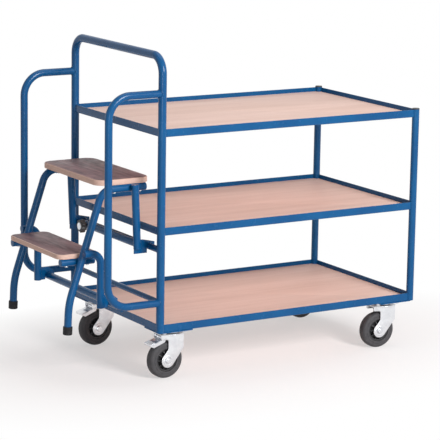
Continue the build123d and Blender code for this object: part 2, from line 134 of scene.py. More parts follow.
def arc(start: float, stop: float, count: int) -> Array:
    """Angles in radians from start to stop degrees."""
    return np.radians(np.linspace(start, stop, count))


def full_turn(count: int) -> Array:
    """Evenly spaced angles round a circle, the first not repeated at the end."""
    return np.linspace(0, 2 * np.pi, count, endpoint=False)


def on_circle(radius: float, angle: Array, x: float = 0.0, y: float = 0.0) -> Array:
    """Points of the plane at the given angles on a circle about (x, y)."""
    return np.stack([x + radius * np.cos(angle), y + radius * np.sin(angle)], 1)


def quarter_round(radius: float, steps: int) -> tuple[Array, Array]:
    """The two legs of a quarter arc: radius (1 - cos a) grows and radius (1 - sin a) falls."""
    angle = arc(0, 90, steps)
    return radius * (1 - np.cos(angle)), radius * (1 - np.sin(angle))


def square_to(axis: Array) -> tuple[Array, Array, Array]:
    """The axis at length one, and two unit vectors square to it and to each other."""
    axis = unit(axis)
    first = unit(np.cross(axis, X if abs(axis[0]) < 0.9 else Y))
    return axis, first, np.cross(axis, first)


def both_sides(reach: float) -> tuple:
    """Near and far, each with its place across the trolley."""
    return ("near", -reach), ("far", reach)


def rounded_route(corners: Array, radii: list[float], steps: int = 16) -> Array:
    """Straight runs joined by arcs.

    Each inner corner gives way to an arc tangent to both runs: it starts radius times the
    tangent of half the turn before the corner, and its centre lies on the bisector.

    Args:
        corners: Points of the route, corners included, shape (n, 3).
        radii: One bend radius for each inner corner.
        steps: Points on each arc.

    Returns:
        Points of the route, shape (m, 3).
    """
    parts = [corners[:1]]
    for before, corner, after, radius in zip(corners, corners[1:], corners[2:], radii):
        coming, going = unit(corner - before), unit(after - corner)
        turn = np.arccos(np.clip(coming @ going, -1, 1))
        start = corner - coming * radius * np.tan(turn / 2)
        across = unit(going - coming * (going @ coming))
        sweep = np.linspace(0, turn, steps)[:, None]
        parts.append(start + radius * (np.sin(sweep) * coming + (1 - np.cos(sweep)) * across))
    parts.append(corners[-1:])
    return np.concatenate(parts)


def rounded_outline(corners: Array, radius: float | Array, steps: int = 6) -> Array:
    """A closed outline with an arc tangent to both sides at every corner.

    Args:
        corners: Corners in the plane, shape (n, 2).
        radius: One radius for all corners or one each.
        steps: Points on each arc.

    Returns:
        Outline points, shape (n * steps, 2), anticlockwise.
    """
    radii = np.broadcast_to(radius, len(corners)).astype(float)[:, None]
    coming = unit(corners - np.roll(corners, 1, 0))
    going = unit(np.roll(corners, -1, 0) - corners)
    turn = np.arccos(np.clip((coming * going).sum(1, keepdims=True), -1, 1))
    across = unit(going - coming * (going * coming).sum(1, keepdims=True))
    start = corners - coming * radii * np.tan(turn / 2)
    sweep = (turn * np.linspace(0, 1, steps))[..., None]
    points = start[:, None] + radii[:, None] * (
        np.sin(sweep) * coming[:, None] + (1 - np.cos(sweep)) * across[:, None]
    )
    outline = points.reshape(-1, 2)
    following = np.roll(outline, -1, 0)
    area = (outline[:, 0] * following[:, 1] - following[:, 0] * outline[:, 1]).sum()
    return outline if area > 0 else outline[::-1]


def inset(outline: Array, distance: float) -> Array:
    """The outline moved inwards along the bisector of its sides by a small distance."""
    coming = unit(outline - np.roll(outline, 1, 0))
    going = unit(np.roll(outline, -1, 0) - outline)
    inward = np.stack([-(coming + going)[:, 1], (coming + going)[:, 0]], 1)
    spread = np.maximum((inward**2).sum(1, keepdims=True), 1e-9)
    return outline + 2 * distance * inward / spread


class Shape:
    """Vertices and faces gathered from surface grids, then made into one Blender object."""

    def __init__(self) -> None:
        """Start with nothing."""
        self.points: list[Array] = []
        self.faces: list[list[int]] = []
        self.looks: list[int] = []
        self.count = 0

    def keep(self, points: Array, faces: list[list[int]], look: int) -> None:
        """Add points and the faces that use them."""
        self.points.append(points.reshape(-1, 3))
        self.faces += faces
        self.looks += [look] * len(faces)
        self.count += len(self.points[-1])

    def grid(self, rings: Array, look: int = 0) -> "Shape":
        """A tube-like surface through closed rings, closed at its two ends.

        Vertex (u, v) is point v of ring u, and v wraps round. An end ring that has shrunk to
        a point becomes a pole of triangles; any other end ring gets one flat face.

        Args:
            rings: Ring points, shape (n, m, 3), anticlockwise seen against the direction of u.
            look: Index of the piece's material.

        Returns:
            This shape.
        """
        columns = rings.shape[1]
        poles = [np.ptp(rings[end], axis=0).max() < 1e-7 for end in (0, -1)]
        body = rings[int(poles[0]) : len(rings) - int(poles[1])]
        index = self.count + np.arange(body.shape[0] * columns).reshape(-1, columns)
        low, high = index[:-1], index[1:]
        quads = np.stack([low, np.roll(low, -1, 1), np.roll(high, -1, 1), high], -1)
        faces, points = quads.reshape(-1, 4).tolist(), [body.reshape(-1, 3)]
        following = self.count + body.shape[0] * columns
        ends = (poles[0], index[0][::-1], rings[0, :1]), (poles[1], index[-1], rings[-1, :1])
        for pole, rim, tip in ends:
            if pole:
                points.append(tip)
                faces += np.stack([rim, np.roll(rim, -1), np.full(columns, following)], -1).tolist()
                following += 1
            else:
                faces.append(rim.tolist())
        self.keep(np.concatenate(points), faces, look)
        return self

    def loop(self, rings: Array) -> "Shape":
        """A surface through closed rings that come back to the first one.

        Args:
            rings: Ring points, shape (n, m, 3).

        Returns:
            This shape.
        """
        rows, columns = rings.shape[:2]
        index = self.count + np.arange(rows * columns).reshape(rows, columns)
        following = np.roll(index, -1, 0)
        quads = np.stack([index, np.roll(index, -1, 1), np.roll(following, -1, 1), following], -1)
        self.keep(rings, quads.reshape(-1, 4).tolist(), 0)
        return self

    def object(self, name: str, sharp: float = 32.0) -> bpy.types.Object:
        """The gathered mesh as an object at the origin, smooth except along sharp edges.

        Args:
            name: Name of the piece.
            sharp: Angle in degrees above which an edge stays sharp.

        Returns:
            The linked object.
        """
        mesh = bpy.data.meshes.new(name)
        mesh.from_pydata(np.concatenate(self.points).tolist(), [], self.faces)
        mesh.polygons.foreach_set("use_smooth", np.ones(len(mesh.polygons), bool))
        mesh.polygons.foreach_set("material_index", np.array(self.looks, np.int32))
        mesh.validate()
        mesh.set_sharp_from_angle(angle=math.radians(sharp))
        return linked(name, mesh)


def linked(name: str, data: bpy.types.ID, axes: list[Array] | None = None) -> bpy.types.Object:
    """A new object in the scene.

    Args:
        name: Name of the object.
        data: Its mesh, lamp or camera.
        axes: Directions of its X, Y and Z, and its place, where it doesn't stay at the origin.

    Returns:
        The object.
    """
    thing = bpy.data.objects.new(name, data)
    bpy.context.scene.collection.objects.link(thing)
    if axes:
        pose = np.eye(4)
        pose[:3] = np.stack(axes, 1)
        thing.matrix_world = Matrix(pose.tolist())
    return thing


def rings_about(centres: Array, radii: Array, first: Array, second: Array, around: int) -> Array:
    """Circles carried along a line: centre + radius (cos a first + sin a second).

    Args:
        centres: Ring centres, shape (n, 3).
        radii: Ring radii, shape (n,) or, for a lobed ring, (n, around).
        first: Unit vector towards angle zero, shape (3,) or (n, 3).
        second: Unit vector a quarter turn on, shape (3,) or (n, 3).
        around: Points on each ring.

    Returns:
        Ring points, shape (n, around, 3).
    """
    angle = full_turn(around)[None, :, None]
    first = np.broadcast_to(first, centres.shape)[:, None]
    second = np.broadcast_to(second, centres.shape)[:, None]
    radii = np.asarray(radii, float)
    radii = radii[..., None] if radii.ndim == 2 else radii[:, None, None]
    return centres[:, None] + radii * (np.cos(angle) * first + np.sin(angle) * second)


def lathe(shape: Shape, profile: Rows, centre: Array, axis: Array, around: int = 48) -> Shape:
    """A turned part: each profile row (height, radius) is one circle about the axis.

    Args:
        shape: Shape that takes the surface.
        profile: Rows of height along the axis and radius, from one pole or rim to the other.
        centre: Point of the axis at height zero.
        axis: Direction of growing height.
        around: Points on each circle.

    Returns:
        The shape.
    """
    profile = np.asarray(profile, float)
    axis, first, second = square_to(axis)
    centres = centre + profile[:, :1] * axis
    return shape.grid(rings_about(centres, profile[:, 1], first, second, around))


def turned_ring(shape: Shape, section: Array, centre: Array, axis: Array, around: int) -> Shape:
    """A hollow turned part: a closed section of (height, radius) rows turned about the axis.

    Args:
        shape: Shape that takes the surface.
        section: Closed outline of the wall, shape (n, 2), anticlockwise.
        centre: Point of the axis at height zero.
        axis: Direction of growing height.
        around: Copies of the section.

    Returns:
        The shape.
    """
    axis, first, second = square_to(axis)
    angle = full_turn(around)[:, None, None]
    spoke = np.cos(angle) * first + np.sin(angle) * second
    rings = centre + section[None, :, :1] * axis + section[None, :, 1:] * spoke
    return shape.loop(rings[:, ::-1])


def plate(
    shape: Shape,
    outline: Array,
    origin: Array,
    across: Array,
    up: Array,
    thickness: float,
    edges: tuple[float, float] = (0.0006, 0.0006),
    looks: tuple[int, int] = (0, 0),
) -> Shape:
    """A flat sheet with rounded edges: the outline is inset by r (1 - sin a) over each edge.

    Args:
        shape: Shape that takes the surface.
        outline: Closed outline in the sheet's plane, anticlockwise, shape (n, 2).
        origin: Place of the outline's zero on the starting face.
        across: Direction of the outline's first coordinate.
        up: Direction of its second coordinate; the sheet grows along across x up.
        thickness: Thickness of the sheet.
        edges: Edge radius on the starting and on the ending face.
        looks: Material index of the sides and of the ending face.

    Returns:
        The shape.
    """
    grow = np.cross(across, up)
    (start_rise, start_draw), (end_rise, end_draw) = (quarter_round(radius, 4) for radius in edges)
    heights = np.concatenate([start_rise, thickness - end_rise[::-1]])
    insets = np.concatenate([start_draw, end_draw[::-1]])
    rings = []
    for height, distance in zip(heights, insets):
        flat = inset(outline, distance)
        rings.append(origin + flat[:, :1] * across + flat[:, 1:] * up + height * grow)
    shape.grid(np.array(rings), looks[0])
    shape.looks[-1] = looks[1]
    return shape


def tube(
    shape: Shape,
    route: Array,
    radius: float,
    side: Array,
    ends: tuple[End, End] = (End.BURIED, End.BURIED),
    around: int = 40,
) -> Shape:
    """A round tube in a flat route: circles square to the route, with real walls at open ends.

    Args:
        shape: Shape that takes the surface.
        route: Points of the centre line, all in one plane, shape (n, 3).
        radius: Outer radius.
        side: Unit vector square to the route's plane.
        ends: Finish of the first and the last end.
        around: Points on each circle.

    Returns:
        The shape.
    """
    steps = unit(np.diff(route, axis=0))
    tangents = unit(np.concatenate([steps[:1], steps[:-1] + steps[1:], steps[-1:]]))
    bore = radius - TUBE_WALL
    rims = {
        End.OPEN: [(OPEN_DEPTH, 0), (OPEN_DEPTH, bore), (0, bore), (0, radius - 0.0004)],
        End.CLOSED: [(-0.0008, radius * 0.85), (-0.0006, radius - 0.0005)],
        End.BURIED: [],
    }
    first, last = (np.array(rims[end], float).reshape(-1, 2) for end in ends)
    before = route[0] + first[:, :1] * tangents[0]
    after = (route[-1] - last[:, :1] * tangents[-1])[::-1]
    radii = np.concatenate([first[:, 1], np.full(len(route), radius), last[::-1, 1]])
    squares = np.cross(tangents, side)
    squares = np.repeat(squares, [1 + len(first)] + [1] * (len(route) - 2) + [1 + len(last)], 0)
    return shape.grid(rings_about(np.concatenate([before, route, after]), radii, side, squares, around))


def straight(start: Array, end: Array, step: float = 0.25) -> Array:
    """Evenly spaced points from start to end, no further apart than step."""
    count = max(2, int(np.ceil(np.linalg.norm(end - start) / step)) + 1)
    return start + (end - start) * np.linspace(0, 1, count)[:, None]


def saddle_weld(shape: Shape, at: Array, post: Array, branch: Array, post_r: float, branch_r: float) -> Shape:
    """A weld bead where a tube meets a larger one.

    The seam point at angle a is the branch circle of radius r pushed out to the post's
    surface, sqrt(R^2 - (r sin a)^2) from its axis; the bead is a small circle about it, its
    radius rippled by the welder's steps.

    Args:
        shape: Shape that takes the surface.
        at: Crossing of the two axes.
        post: Unit direction of the larger tube.
        branch: Unit direction in which the smaller tube leaves it.
        post_r: Radius of the larger tube.
        branch_r: Radius of the smaller tube.

    Returns:
        The shape.
    """
    sideways = np.cross(post, branch)
    angle = full_turn(96)
    ring_r = min(branch_r, post_r * 0.98)
    reach = np.sqrt(np.maximum(post_r**2 - (ring_r * np.sin(angle)) ** 2, 0))
    outward = unit(np.cos(angle)[:, None] * post + np.sin(angle)[:, None] * sideways)
    seam = at + reach[:, None] * branch + ring_r * outward
    bead = 0.0021 + 0.00045 * np.abs(np.sin(angle * 16))
    turn = full_turn(10)[None, :, None]
    rings = seam[:, None] + bead[:, None, None] * (np.cos(turn) * outward[:, None] + np.sin(turn) * branch)
    return closed_loop(shape, rings, np.roll(seam, -1, 0) - seam)


# Finishes


class Recipe:
    """A node tree under construction, its patterns on Object coordinates."""

    def __init__(self, owner: bpy.types.Material | bpy.types.World) -> None:
        """Start with an empty tree.

        Args:
            owner: The material or world that the nodes belong to.
        """
        self.owner = owner
        owner.use_nodes = True
        self.tree = owner.node_tree
        self.tree.nodes.clear()

    @classmethod
    def named(cls, name: str) -> "Recipe":
        """A recipe for a new material."""
        return cls(bpy.data.materials.new(name))

    @cached_property
    def place(self) -> Socket:
        """Object coordinates."""
        return self.add("ShaderNodeTexCoord").outputs["Object"]

    def add(self, kind: str, inputs: dict | None = None, **settings: object) -> bpy.types.Node:
        """A node with its settings, and its inputs as values or as links.

        Args:
            kind: Node type.
            inputs: Input name or index to a constant or to another node's output.
            **settings: Attributes of the node.

        Returns:
            The node.
        """
        node = self.tree.nodes.new(kind)
        for name, value in settings.items():
            setattr(node, name, value)
        for name, value in (inputs or {}).items():
            if isinstance(value, bpy.types.NodeSocket):
                self.tree.links.new(value, node.inputs[name])
            else:
                node.inputs[name].default_value = value
        return node

    def stretched(self, *scale: float) -> Socket:
        """Object coordinates with their own scale along each axis."""
        return self.add("ShaderNodeMapping", {"Vector": self.place, "Scale": scale}).outputs[0]

    def noise(
        self, scale: float, detail: float = 2.0, rough: float = 0.5, at: Socket | None = None
    ) -> Socket:
        """Noise of a given scale, as a factor."""
        inputs = {"Vector": at or self.place, "Scale": scale, "Detail": detail, "Roughness": rough}
        return self.add("ShaderNodeTexNoise", inputs).outputs["Fac"]

    def maths(self, operation: str, *values: object) -> Socket:
        """The result of one Math node."""
        return self.add("ShaderNodeMath", dict(enumerate(values)), operation=operation).outputs[0]

    def span(self, factor: Socket, low: float, high: float, to: tuple[float, float]) -> Socket:
        """The factor from low to high carried to the given span and held at its ends."""
        inputs = {"Value": factor, "From Min": low, "From Max": high, "To Min": to[0], "To Max": to[1]}
        return self.add("ShaderNodeMapRange", inputs).outputs[0]

    def mix(self, factor: Socket, first: object, second: object) -> Socket:
        """Two colours blended by a factor."""
        first, second = ((*c, 1) if isinstance(c, tuple) else c for c in (first, second))
        return self.add("ShaderNodeMix", {0: factor, 6: first, 7: second}, data_type="RGBA").outputs[2]

    def bump(self, height: Socket, distance: float, strength: float) -> Socket:
        """A normal raised by a height map."""
        inputs = {"Height": height, "Distance": distance, "Strength": strength}
        return self.add("ShaderNodeBump", inputs).outputs[0]

    def white_rays(self) -> Socket:
        """One for a ray from the camera, from a gloss or through glass, else zero."""
        rays = self.add("ShaderNodeLightPath").outputs
        seen = self.maths("MAXIMUM", rays["Is Camera Ray"], rays["Is Glossy Ray"])
        return self.maths("MAXIMUM", seen, rays["Is Transmission Ray"])

    def close(self, shader: bpy.types.Node, kind: str = "Material") -> bpy.types.ID:
        """Join the last shader to the output and give back the tree's owner."""
        self.add(f"ShaderNodeOutput{kind}", {"Surface": shader.outputs[0]})
        return self.owner

    def finish(self, **sockets: object) -> bpy.types.Material:
        """Close the tree with a Principled shader; underscores in names stand for spaces."""
        named = {name.replace("_", " "): value for name, value in sockets.items()}
        return self.close(self.add("ShaderNodeBsdfPrincipled", named))


@dataclass(frozen=True)
class GlossPaint:
    """Blue gloss powder coat with a fine orange peel."""

    name: str = "blue_gloss_paint"
    colour: tuple = (0.001, 0.078, 0.214)
    deep: tuple = (0.001, 0.062, 0.184)

    def material(self) -> bpy.types.Material:
        """Colour drifts a little with a broad noise; a fine noise gives the peel."""
        r = Recipe.named(self.name)
        drift = r.span(r.noise(9, 3), 0.35, 0.7, (0, 1))
        colour = r.mix(drift, self.deep, self.colour)
        rough = r.span(r.noise(60, 4, 0.6), 0.3, 0.75, (0.2, 0.3))
        peel = r.bump(r.noise(260, 1), 0.00006, 0.25)
        return r.finish(Base_Color=colour, Roughness=rough, Normal=peel, Specular_IOR_Level=0.25)


@dataclass(frozen=True)
class BeechVeneer:
    """Pinkish beech face with fine pores along X."""

    name: str = "beech_veneer"
    light: tuple = (0.86, 0.615, 0.535)
    warm: tuple = (0.74, 0.505, 0.425)
    pore: tuple = (0.42, 0.26, 0.19)

    def material(self) -> bpy.types.Material:
        """Long stretched noise gives the cathedrals, a much finer one the pores."""
        r = Recipe.named(self.name)
        figure = r.noise(1.0, 5, 0.55, r.stretched(1.6, 14, 14))
        streak = r.noise(1.0, 4, 0.6, r.stretched(3.5, 190, 190))
        colour = r.mix(r.span(figure, 0.34, 0.66, (0, 1)), self.light, self.warm)
        colour = r.mix(r.span(streak, 0.45, 0.72, (0, 0.5)), colour, self.warm)
        flecks = r.noise(1.0, 2, 0.5, r.stretched(60, 900, 900))
        colour = r.mix(r.span(flecks, 0.62, 0.74, (0, 0.35)), colour, self.pore)
        rough = r.span(streak, 0.3, 0.7, (0.44, 0.58))
        relief = r.bump(streak, 0.0002, 0.25)
        return r.finish(Base_Color=colour, Roughness=rough, Normal=relief, Specular_IOR_Level=0.3)


@dataclass(frozen=True)
class FilmPlywood:
    """Step board: a grey-brown film with a pressed anti-slip grid over birch layers."""

    name: str = "film_plywood"
    film: tuple = (0.25, 0.145, 0.15)
    film_dark: tuple = (0.10, 0.06, 0.066)

    def material(self) -> bpy.types.Material:
        """The face veneer's streaks along Y show through the film; dots stand on a 4 mm grid."""
        r = Recipe.named(self.name)
        streaks = r.noise(1.0, 5, 0.65, r.stretched(70, 7, 20))
        colour = r.mix(r.span(streaks, 0.36, 0.64, (0, 1)), self.film, self.film_dark)
        grid = {"Vector": r.place, "Scale": 260.0, "Randomness": 0.0}
        dots = r.add("ShaderNodeTexVoronoi", grid).outputs["Distance"]
        rough = r.span(r.noise(40, 3), 0.3, 0.7, (0.42, 0.56))
        relief = r.bump(dots, 0.0003, 0.35)
        return r.finish(Base_Color=colour, Roughness=rough, Normal=relief, Specular_IOR_Level=0.3)


@dataclass(frozen=True)
class PlyEdge:
    """Sanded plywood edge: thin veneers, every other one end grain and darker."""

    name: str = "plywood_edge"
    long_grain: tuple = (0.70, 0.50, 0.42)
    end_grain: tuple = (0.44, 0.27, 0.215)
    veneer: float = 0.0015

    def material(self) -> bpy.types.Material:
        """A wave along Z with two veneers to a period, broken by fine noise."""
        r = Recipe.named(self.name)
        height = r.add("ShaderNodeSeparateXYZ", {"Vector": r.place}).outputs["Z"]
        wave = r.maths("SINE", r.maths("MULTIPLY", height, math.pi / self.veneer))
        fibre = r.noise(1.0, 3, 0.6, r.stretched(260, 260, 1200))
        colour = r.mix(r.span(wave, -0.25, 0.25, (0, 1)), self.long_grain, self.end_grain)
        colour = r.mix(r.span(fibre, 0.4, 0.7, (0, 0.45)), colour, self.end_grain)
        return r.finish(Base_Color=colour, Roughness=0.6, Normal=r.bump(fibre, 0.0002, 0.4))


@dataclass(frozen=True)
class PlatedSteel:
    """Bright zinc plate: pale, slightly mottled, with faint drawing marks."""

    name: str
    pale: tuple = (0.84, 0.85, 0.87)
    dull: tuple = (0.66, 0.67, 0.70)
    rough: tuple = (0.24, 0.42)

    def material(self) -> bpy.types.Material:
        """Broad noise mottles the plating, and a fine one its gloss."""
        r = Recipe.named(self.name)
        mottle = r.noise(38, 5, 0.6)
        spangle = r.noise(420, 2)
        colour = r.mix(r.span(mottle, 0.35, 0.7, (0, 1)), self.pale, self.dull)
        rough = r.span(mottle, 0.3, 0.7, self.rough)
        relief = r.bump(spangle, 0.00006, 0.4)
        return r.finish(Base_Color=colour, Metallic=1.0, Roughness=rough, Normal=relief)


@dataclass(frozen=True)
class Rubber:
    """Matt rubber with a dusty bloom."""

    name: str
    clean: tuple
    dusty: tuple
    grain: float = 700.0

    def material(self) -> bpy.types.Material:
        """Dust follows a broad noise, the skin a fine one."""
        r = Recipe.named(self.name)
        dust = r.noise(45, 5, 0.65)
        colour = r.mix(r.span(dust, 0.35, 0.75, (0, 1)), self.clean, self.dusty)
        rough = r.span(dust, 0.3, 0.7, (0.5, 0.72))
        skin = r.bump(r.noise(self.grain, 2), 0.0001, 0.4)
        return r.finish(Base_Color=colour, Roughness=rough, Normal=skin, Specular_IOR_Level=0.25)


@dataclass(frozen=True)
class MouldedPlastic:
    """Black moulded plastic with a fine spark texture."""

    name: str
    colour: tuple = (0.014, 0.014, 0.016)
    worn: tuple = (0.03, 0.03, 0.033)
    rough: tuple = (0.3, 0.48)

    def material(self) -> bpy.types.Material:
        """Fine noise roughens the skin, a broad one greys it."""
        r = Recipe.named(self.name)
        colour = r.mix(r.span(r.noise(30, 4, 0.6), 0.4, 0.75, (0, 1)), self.colour, self.worn)
        rough = r.span(r.noise(90, 3), 0.3, 0.7, self.rough)
        return r.finish(Base_Color=colour, Roughness=rough, Normal=r.bump(r.noise(900, 2), 0.00008, 0.5))


class Palette:
    """One material for each slot, and the bare plywood edge."""

    def __init__(self) -> None:
        """Build every finish once."""
        self.by_slot = {
            Slot.PAINT: GlossPaint().material(),
            Slot.BEECH: BeechVeneer().material(),
            Slot.STEP: FilmPlywood().material(),
            Slot.RUBBER: Rubber("black_rubber", (0.006, 0.006, 0.008), (0.014, 0.014, 0.016)).material(),
            Slot.TYRE: Rubber("grey_tyre_rubber", (0.046, 0.045, 0.049), (0.074, 0.073, 0.077)).material(),
            Slot.PLASTIC: MouldedPlastic("black_plastic").material(),
            Slot.PRESSED: PlatedSteel("pressed_zinc").material(),
            Slot.FASTENER: PlatedSteel("fastener_zinc", rough=(0.2, 0.36)).material(),
        }
        self.edge = PlyEdge().material()

    def dress(self, piece: bpy.types.Object, slot: Slot, *others: bpy.types.Material) -> None:
        """Give a piece its slot's finish, and further materials by index."""
        if piece.data.materials:
            piece.data.materials.clear()
        for material in (self.by_slot[slot], *others):
            piece.data.materials.append(material)


# Surroundings


@dataclass
class Studio:
    """Pale floor, soft light and the photograph's camera.

    The camera's place and turns are a fit of the object's own edges: yaw from +Y towards +X,
    pitch below the horizon, and roll of the frame. A lamp is its name, place, aim, size, watts.
    """

    place: tuple = (-3.81725, -6.353, 1.960)
    focal_pixels: float = 2209.3
    yaw: float = 31.351
    pitch: float = 11.450
    roll: float = 0.936
    sensor: float = 36.0
    far_clip: float = 60.0
    ambient: float = 0.33
    floor_half: float = 30.0
    floor_glow: float = 0.5
    floor_shape: tuple = (0.8, 1.3, 1)
    floor_fade: tuple = (0.5, 1.1)
    # Pink tint: painted bounce light from the beech boards into the shade under the trolley.
    floor_colour: tuple = (0.9, 0.83, 0.82, 1)
    lamps: tuple = (
        ("key", (0.6, -5.0, 2.9), (0, 0, 0.5), 1.6, 300),
        ("low", (-2.6, -4.4, 0.8), (-0.3, 0, 0.15), 1.0, 30),
        ("top", (0.4, 0.2, 4.6), (0, 0, 0.5), 3.0, 35),
    )

    def camera(self) -> None:
        """Axes from the angles: ahead, right and up are turned by yaw, then pitch, then roll."""
        yaw, pitch, roll = np.radians([self.yaw, self.pitch, self.roll])
        level = point(math.sin(yaw), math.cos(yaw), 0)
        ahead = level * math.cos(pitch) - Z * math.sin(pitch)
        right = point(math.cos(yaw), -math.sin(yaw), 0)
        up = np.cross(right, ahead)
        turned_right = right * math.cos(roll) + up * math.sin(roll)
        turned_up = up * math.cos(roll) - right * math.sin(roll)
        data = bpy.data.cameras.new("photo_camera")
        data.sensor_width = self.sensor
        data.lens = self.focal_pixels / PHOTO_SIDE * self.sensor
        data.clip_end = self.far_clip
        axes = [turned_right, turned_up, -ahead, point(*self.place)]
        bpy.context.scene.camera = linked("photo_camera", data, axes)

    def floor(self) -> None:
        """A broad flat sheet that takes the shadow and shows white to the camera."""
        half = self.floor_half
        mesh = bpy.data.meshes.new("floor")
        corners = [(-half, -half, 0), (half, -half, 0), (half, half, 0), (-half, half, 0)]
        mesh.from_pydata(corners, [], [(0, 1, 2, 3)])
        mesh.materials.append(self.floor_material())
        linked("floor", mesh)

    def floor_material(self) -> bpy.types.Material:
        """Matt floor tinted pink, the tint painted bounce light from the beech boards, mixed half and half
        with white glow near the object, which is painted light that makes the cast shadow paler, blending to
        plain white light far from it.
        """
        r = Recipe.named("pale_floor")
        far = r.add("ShaderNodeVectorMath", {0: r.stretched(*self.floor_shape)}, operation="LENGTH")
        # Near the object the camera sees half white glow, painted light that makes the cast shadow paler.
        fade = r.span(far.outputs["Value"], *self.floor_fade, (self.floor_glow, 1))
        amount = r.maths("MULTIPLY", r.white_rays(), fade)
        # The floor colour's pink tint is painted bounce light from the boards.
        matt = r.add("ShaderNodeBsdfDiffuse", {"Color": self.floor_colour})
        glow = r.add("ShaderNodeEmission", {"Color": WHITE, "Strength": 1.0})
        return r.close(r.add("ShaderNodeMixShader", {0: amount, 1: matt.outputs[0], 2: glow.outputs[0]}))

    def lamp(self, name: str, place: tuple, aim: tuple, size: float, watts: float) -> None:
        """One square soft box turned towards a point."""
        data = bpy.data.lights.new(name, "AREA")
        data.size, data.energy = size, watts
        back = unit(point(*place) - point(*aim))
        side = unit(np.cross(Z, back))
        linked(name, data, [side, np.cross(back, side), back, point(*place)])

    def world(self) -> None:
        """Even pale light, white wherever the camera, metal or glass looks past the floor."""
        bpy.context.scene.world = bpy.data.worlds.new("studio")
        r = Recipe(bpy.context.scene.world)
        level = r.span(r.white_rays(), 0, 1, (self.ambient, 1))
        r.close(r.add("ShaderNodeBackground", {"Color": WHITE, "Strength": level}), "World")

    def build(self) -> None:
        """Set up camera, floor, lamps and world."""
        self.camera()
        self.floor()
        for lamp in self.lamps:
            self.lamp(*lamp)
        self.world()
        bpy.context.scene.view_settings.view_transform = "Standard"


# Detail builders shared by the sub-assemblies


def ring_weld(shape: Shape, centre: Array, axis: Array, radius: float) -> Shape:
    """A weld bead all round a tube where it stands on a flat face.

    The bead's own radius swells sixteen times round the seam, as the welder's steps do.

    Args:
        shape: Shape that takes the surface.
        centre: Centre of the seam.
        axis: Direction of the tube.
        radius: Radius of the tube.

    Returns:
        The shape.
    """
    axis, first, second = square_to(axis)
    angle = full_turn(72)[:, None]
    spoke = np.cos(angle) * first + np.sin(angle) * second
    sizes = RING_BEAD * (1 + 0.2 * np.abs(np.sin(angle * 8)))[..., None]
    turn = full_turn(8)[None, :, None]
    rings = centre + radius * spoke[:, None] + sizes * (np.cos(turn) * spoke[:, None] + np.sin(turn) * axis)
    return closed_loop(shape, rings, np.cross(axis, spoke))


def closed_loop(shape: Shape, rings: Array, along: Array) -> Shape:
    """A closed tube-like surface through rings that come back to the first one.

    Args:
        shape: Shape that takes the surface.
        rings: Ring points, shape (n, m, 3).
        along: Direction of travel at each ring, to tell which way the rings turn.

    Returns:
        The shape.
    """
    middle = rings[0].mean(0)
    turns = np.cross(rings[0] - middle, np.roll(rings[0], -1, 0) - middle).sum(0)
    return shape.loop(rings if turns @ along[0] > 0 else rings[:, ::-1])


def run_weld(shape: Shape, start: Array, end: Array, bead: float = 0.002) -> Shape:
    """A straight weld bead, its radius a half sine at the ends and rippled between."""
    count = max(9, int(np.linalg.norm(end - start) / 0.0016))
    share = np.linspace(0, 1, count)
    sizes = bead * np.minimum(1, 5 * np.sin(np.pi * share)) * (1 + 0.18 * np.cos(np.arange(count) * 2.1))
    sizes[[0, -1]] = 0
    centres = start + (end - start) * share[:, None]
    _, first, second = square_to(end - start)
    return shape.grid(rings_about(centres, sizes, first, second, 10))


def hex_prism(shape: Shape, centre: Array, axis: Array, across: float, height: float) -> Shape:
    """A hexagon head or nut with chamfered corners.

    The radius at an angle is the flat's distance over the cosine from that flat's middle,
    held back near both faces by a cone.

    Args:
        shape: Shape that takes the surface.
        centre: Middle of the base.
        axis: Direction of growing height.
        across: Distance across the flats.
        height: Height of the prism.

    Returns:
        The shape.
    """
    axis, first, second = square_to(axis)
    angle = full_turn(48)
    flat = across / 2 / np.cos((angle + np.pi / 6) % (np.pi / 3) - np.pi / 6)
    slope = 0.08 * across
    heights = np.array([0, 0, 0.35 * slope, height - slope, height - 0.35 * slope, height, height])
    cone = across / 2 * np.array([0, 0.98, 1.05, 1.2, 1.06, 0.97, 0])
    radii = np.minimum(flat, cone[:, None])
    return shape.grid(rings_about(centre + heights[:, None] * axis, radii, first, second, 48))


def washer(shape: Shape, centre: Array, axis: Array, outer: float, height: float) -> Shape:
    """A flat washer with eased edges."""
    ease = height * 0.25
    rows = [(0, 0), (0, outer - ease), (ease, outer)]
    rows += [(height - a, b) for a, b in rows[::-1]]
    return lathe(shape, rows, centre, axis)


def dome_head(shape: Shape, centre: Array, axis: Array, radius: float, height: float, drive: float) -> Shape:
    """A domed screw head with a round-bottomed drive recess.

    The dome's height falls with the square of the radius; inside the drive radius it dips.

    Args:
        shape: Shape that takes the surface.
        centre: Middle of the head's seat.
        axis: Direction in which the head stands out.
        radius: Radius of the head.
        height: Height of the head.
        drive: Radius of the recess.

    Returns:
        The shape.
    """
    out = np.linspace(1, drive / radius, 7)
    dome = np.stack([height * (1 - 0.55 * out**2), radius * out], 1)
    foot = np.array([(0, 0), (0, radius * 0.97), (height * 0.12, radius)])
    dip = np.array([(height * 0.45, drive * 0.8), (height * 0.4, 0)])
    return lathe(shape, np.concatenate([foot, dome, dip]), centre, axis, 36)


def tangent_points(outside: Array, centre: Array, radius: float) -> tuple[float, float]:
    """Angles on a circle where the two lines from an outside point touch it, left one first."""
    away = outside - centre
    middle = math.atan2(away[1], away[0])
    half = math.acos(radius / np.linalg.norm(away))
    return middle + half, middle - half


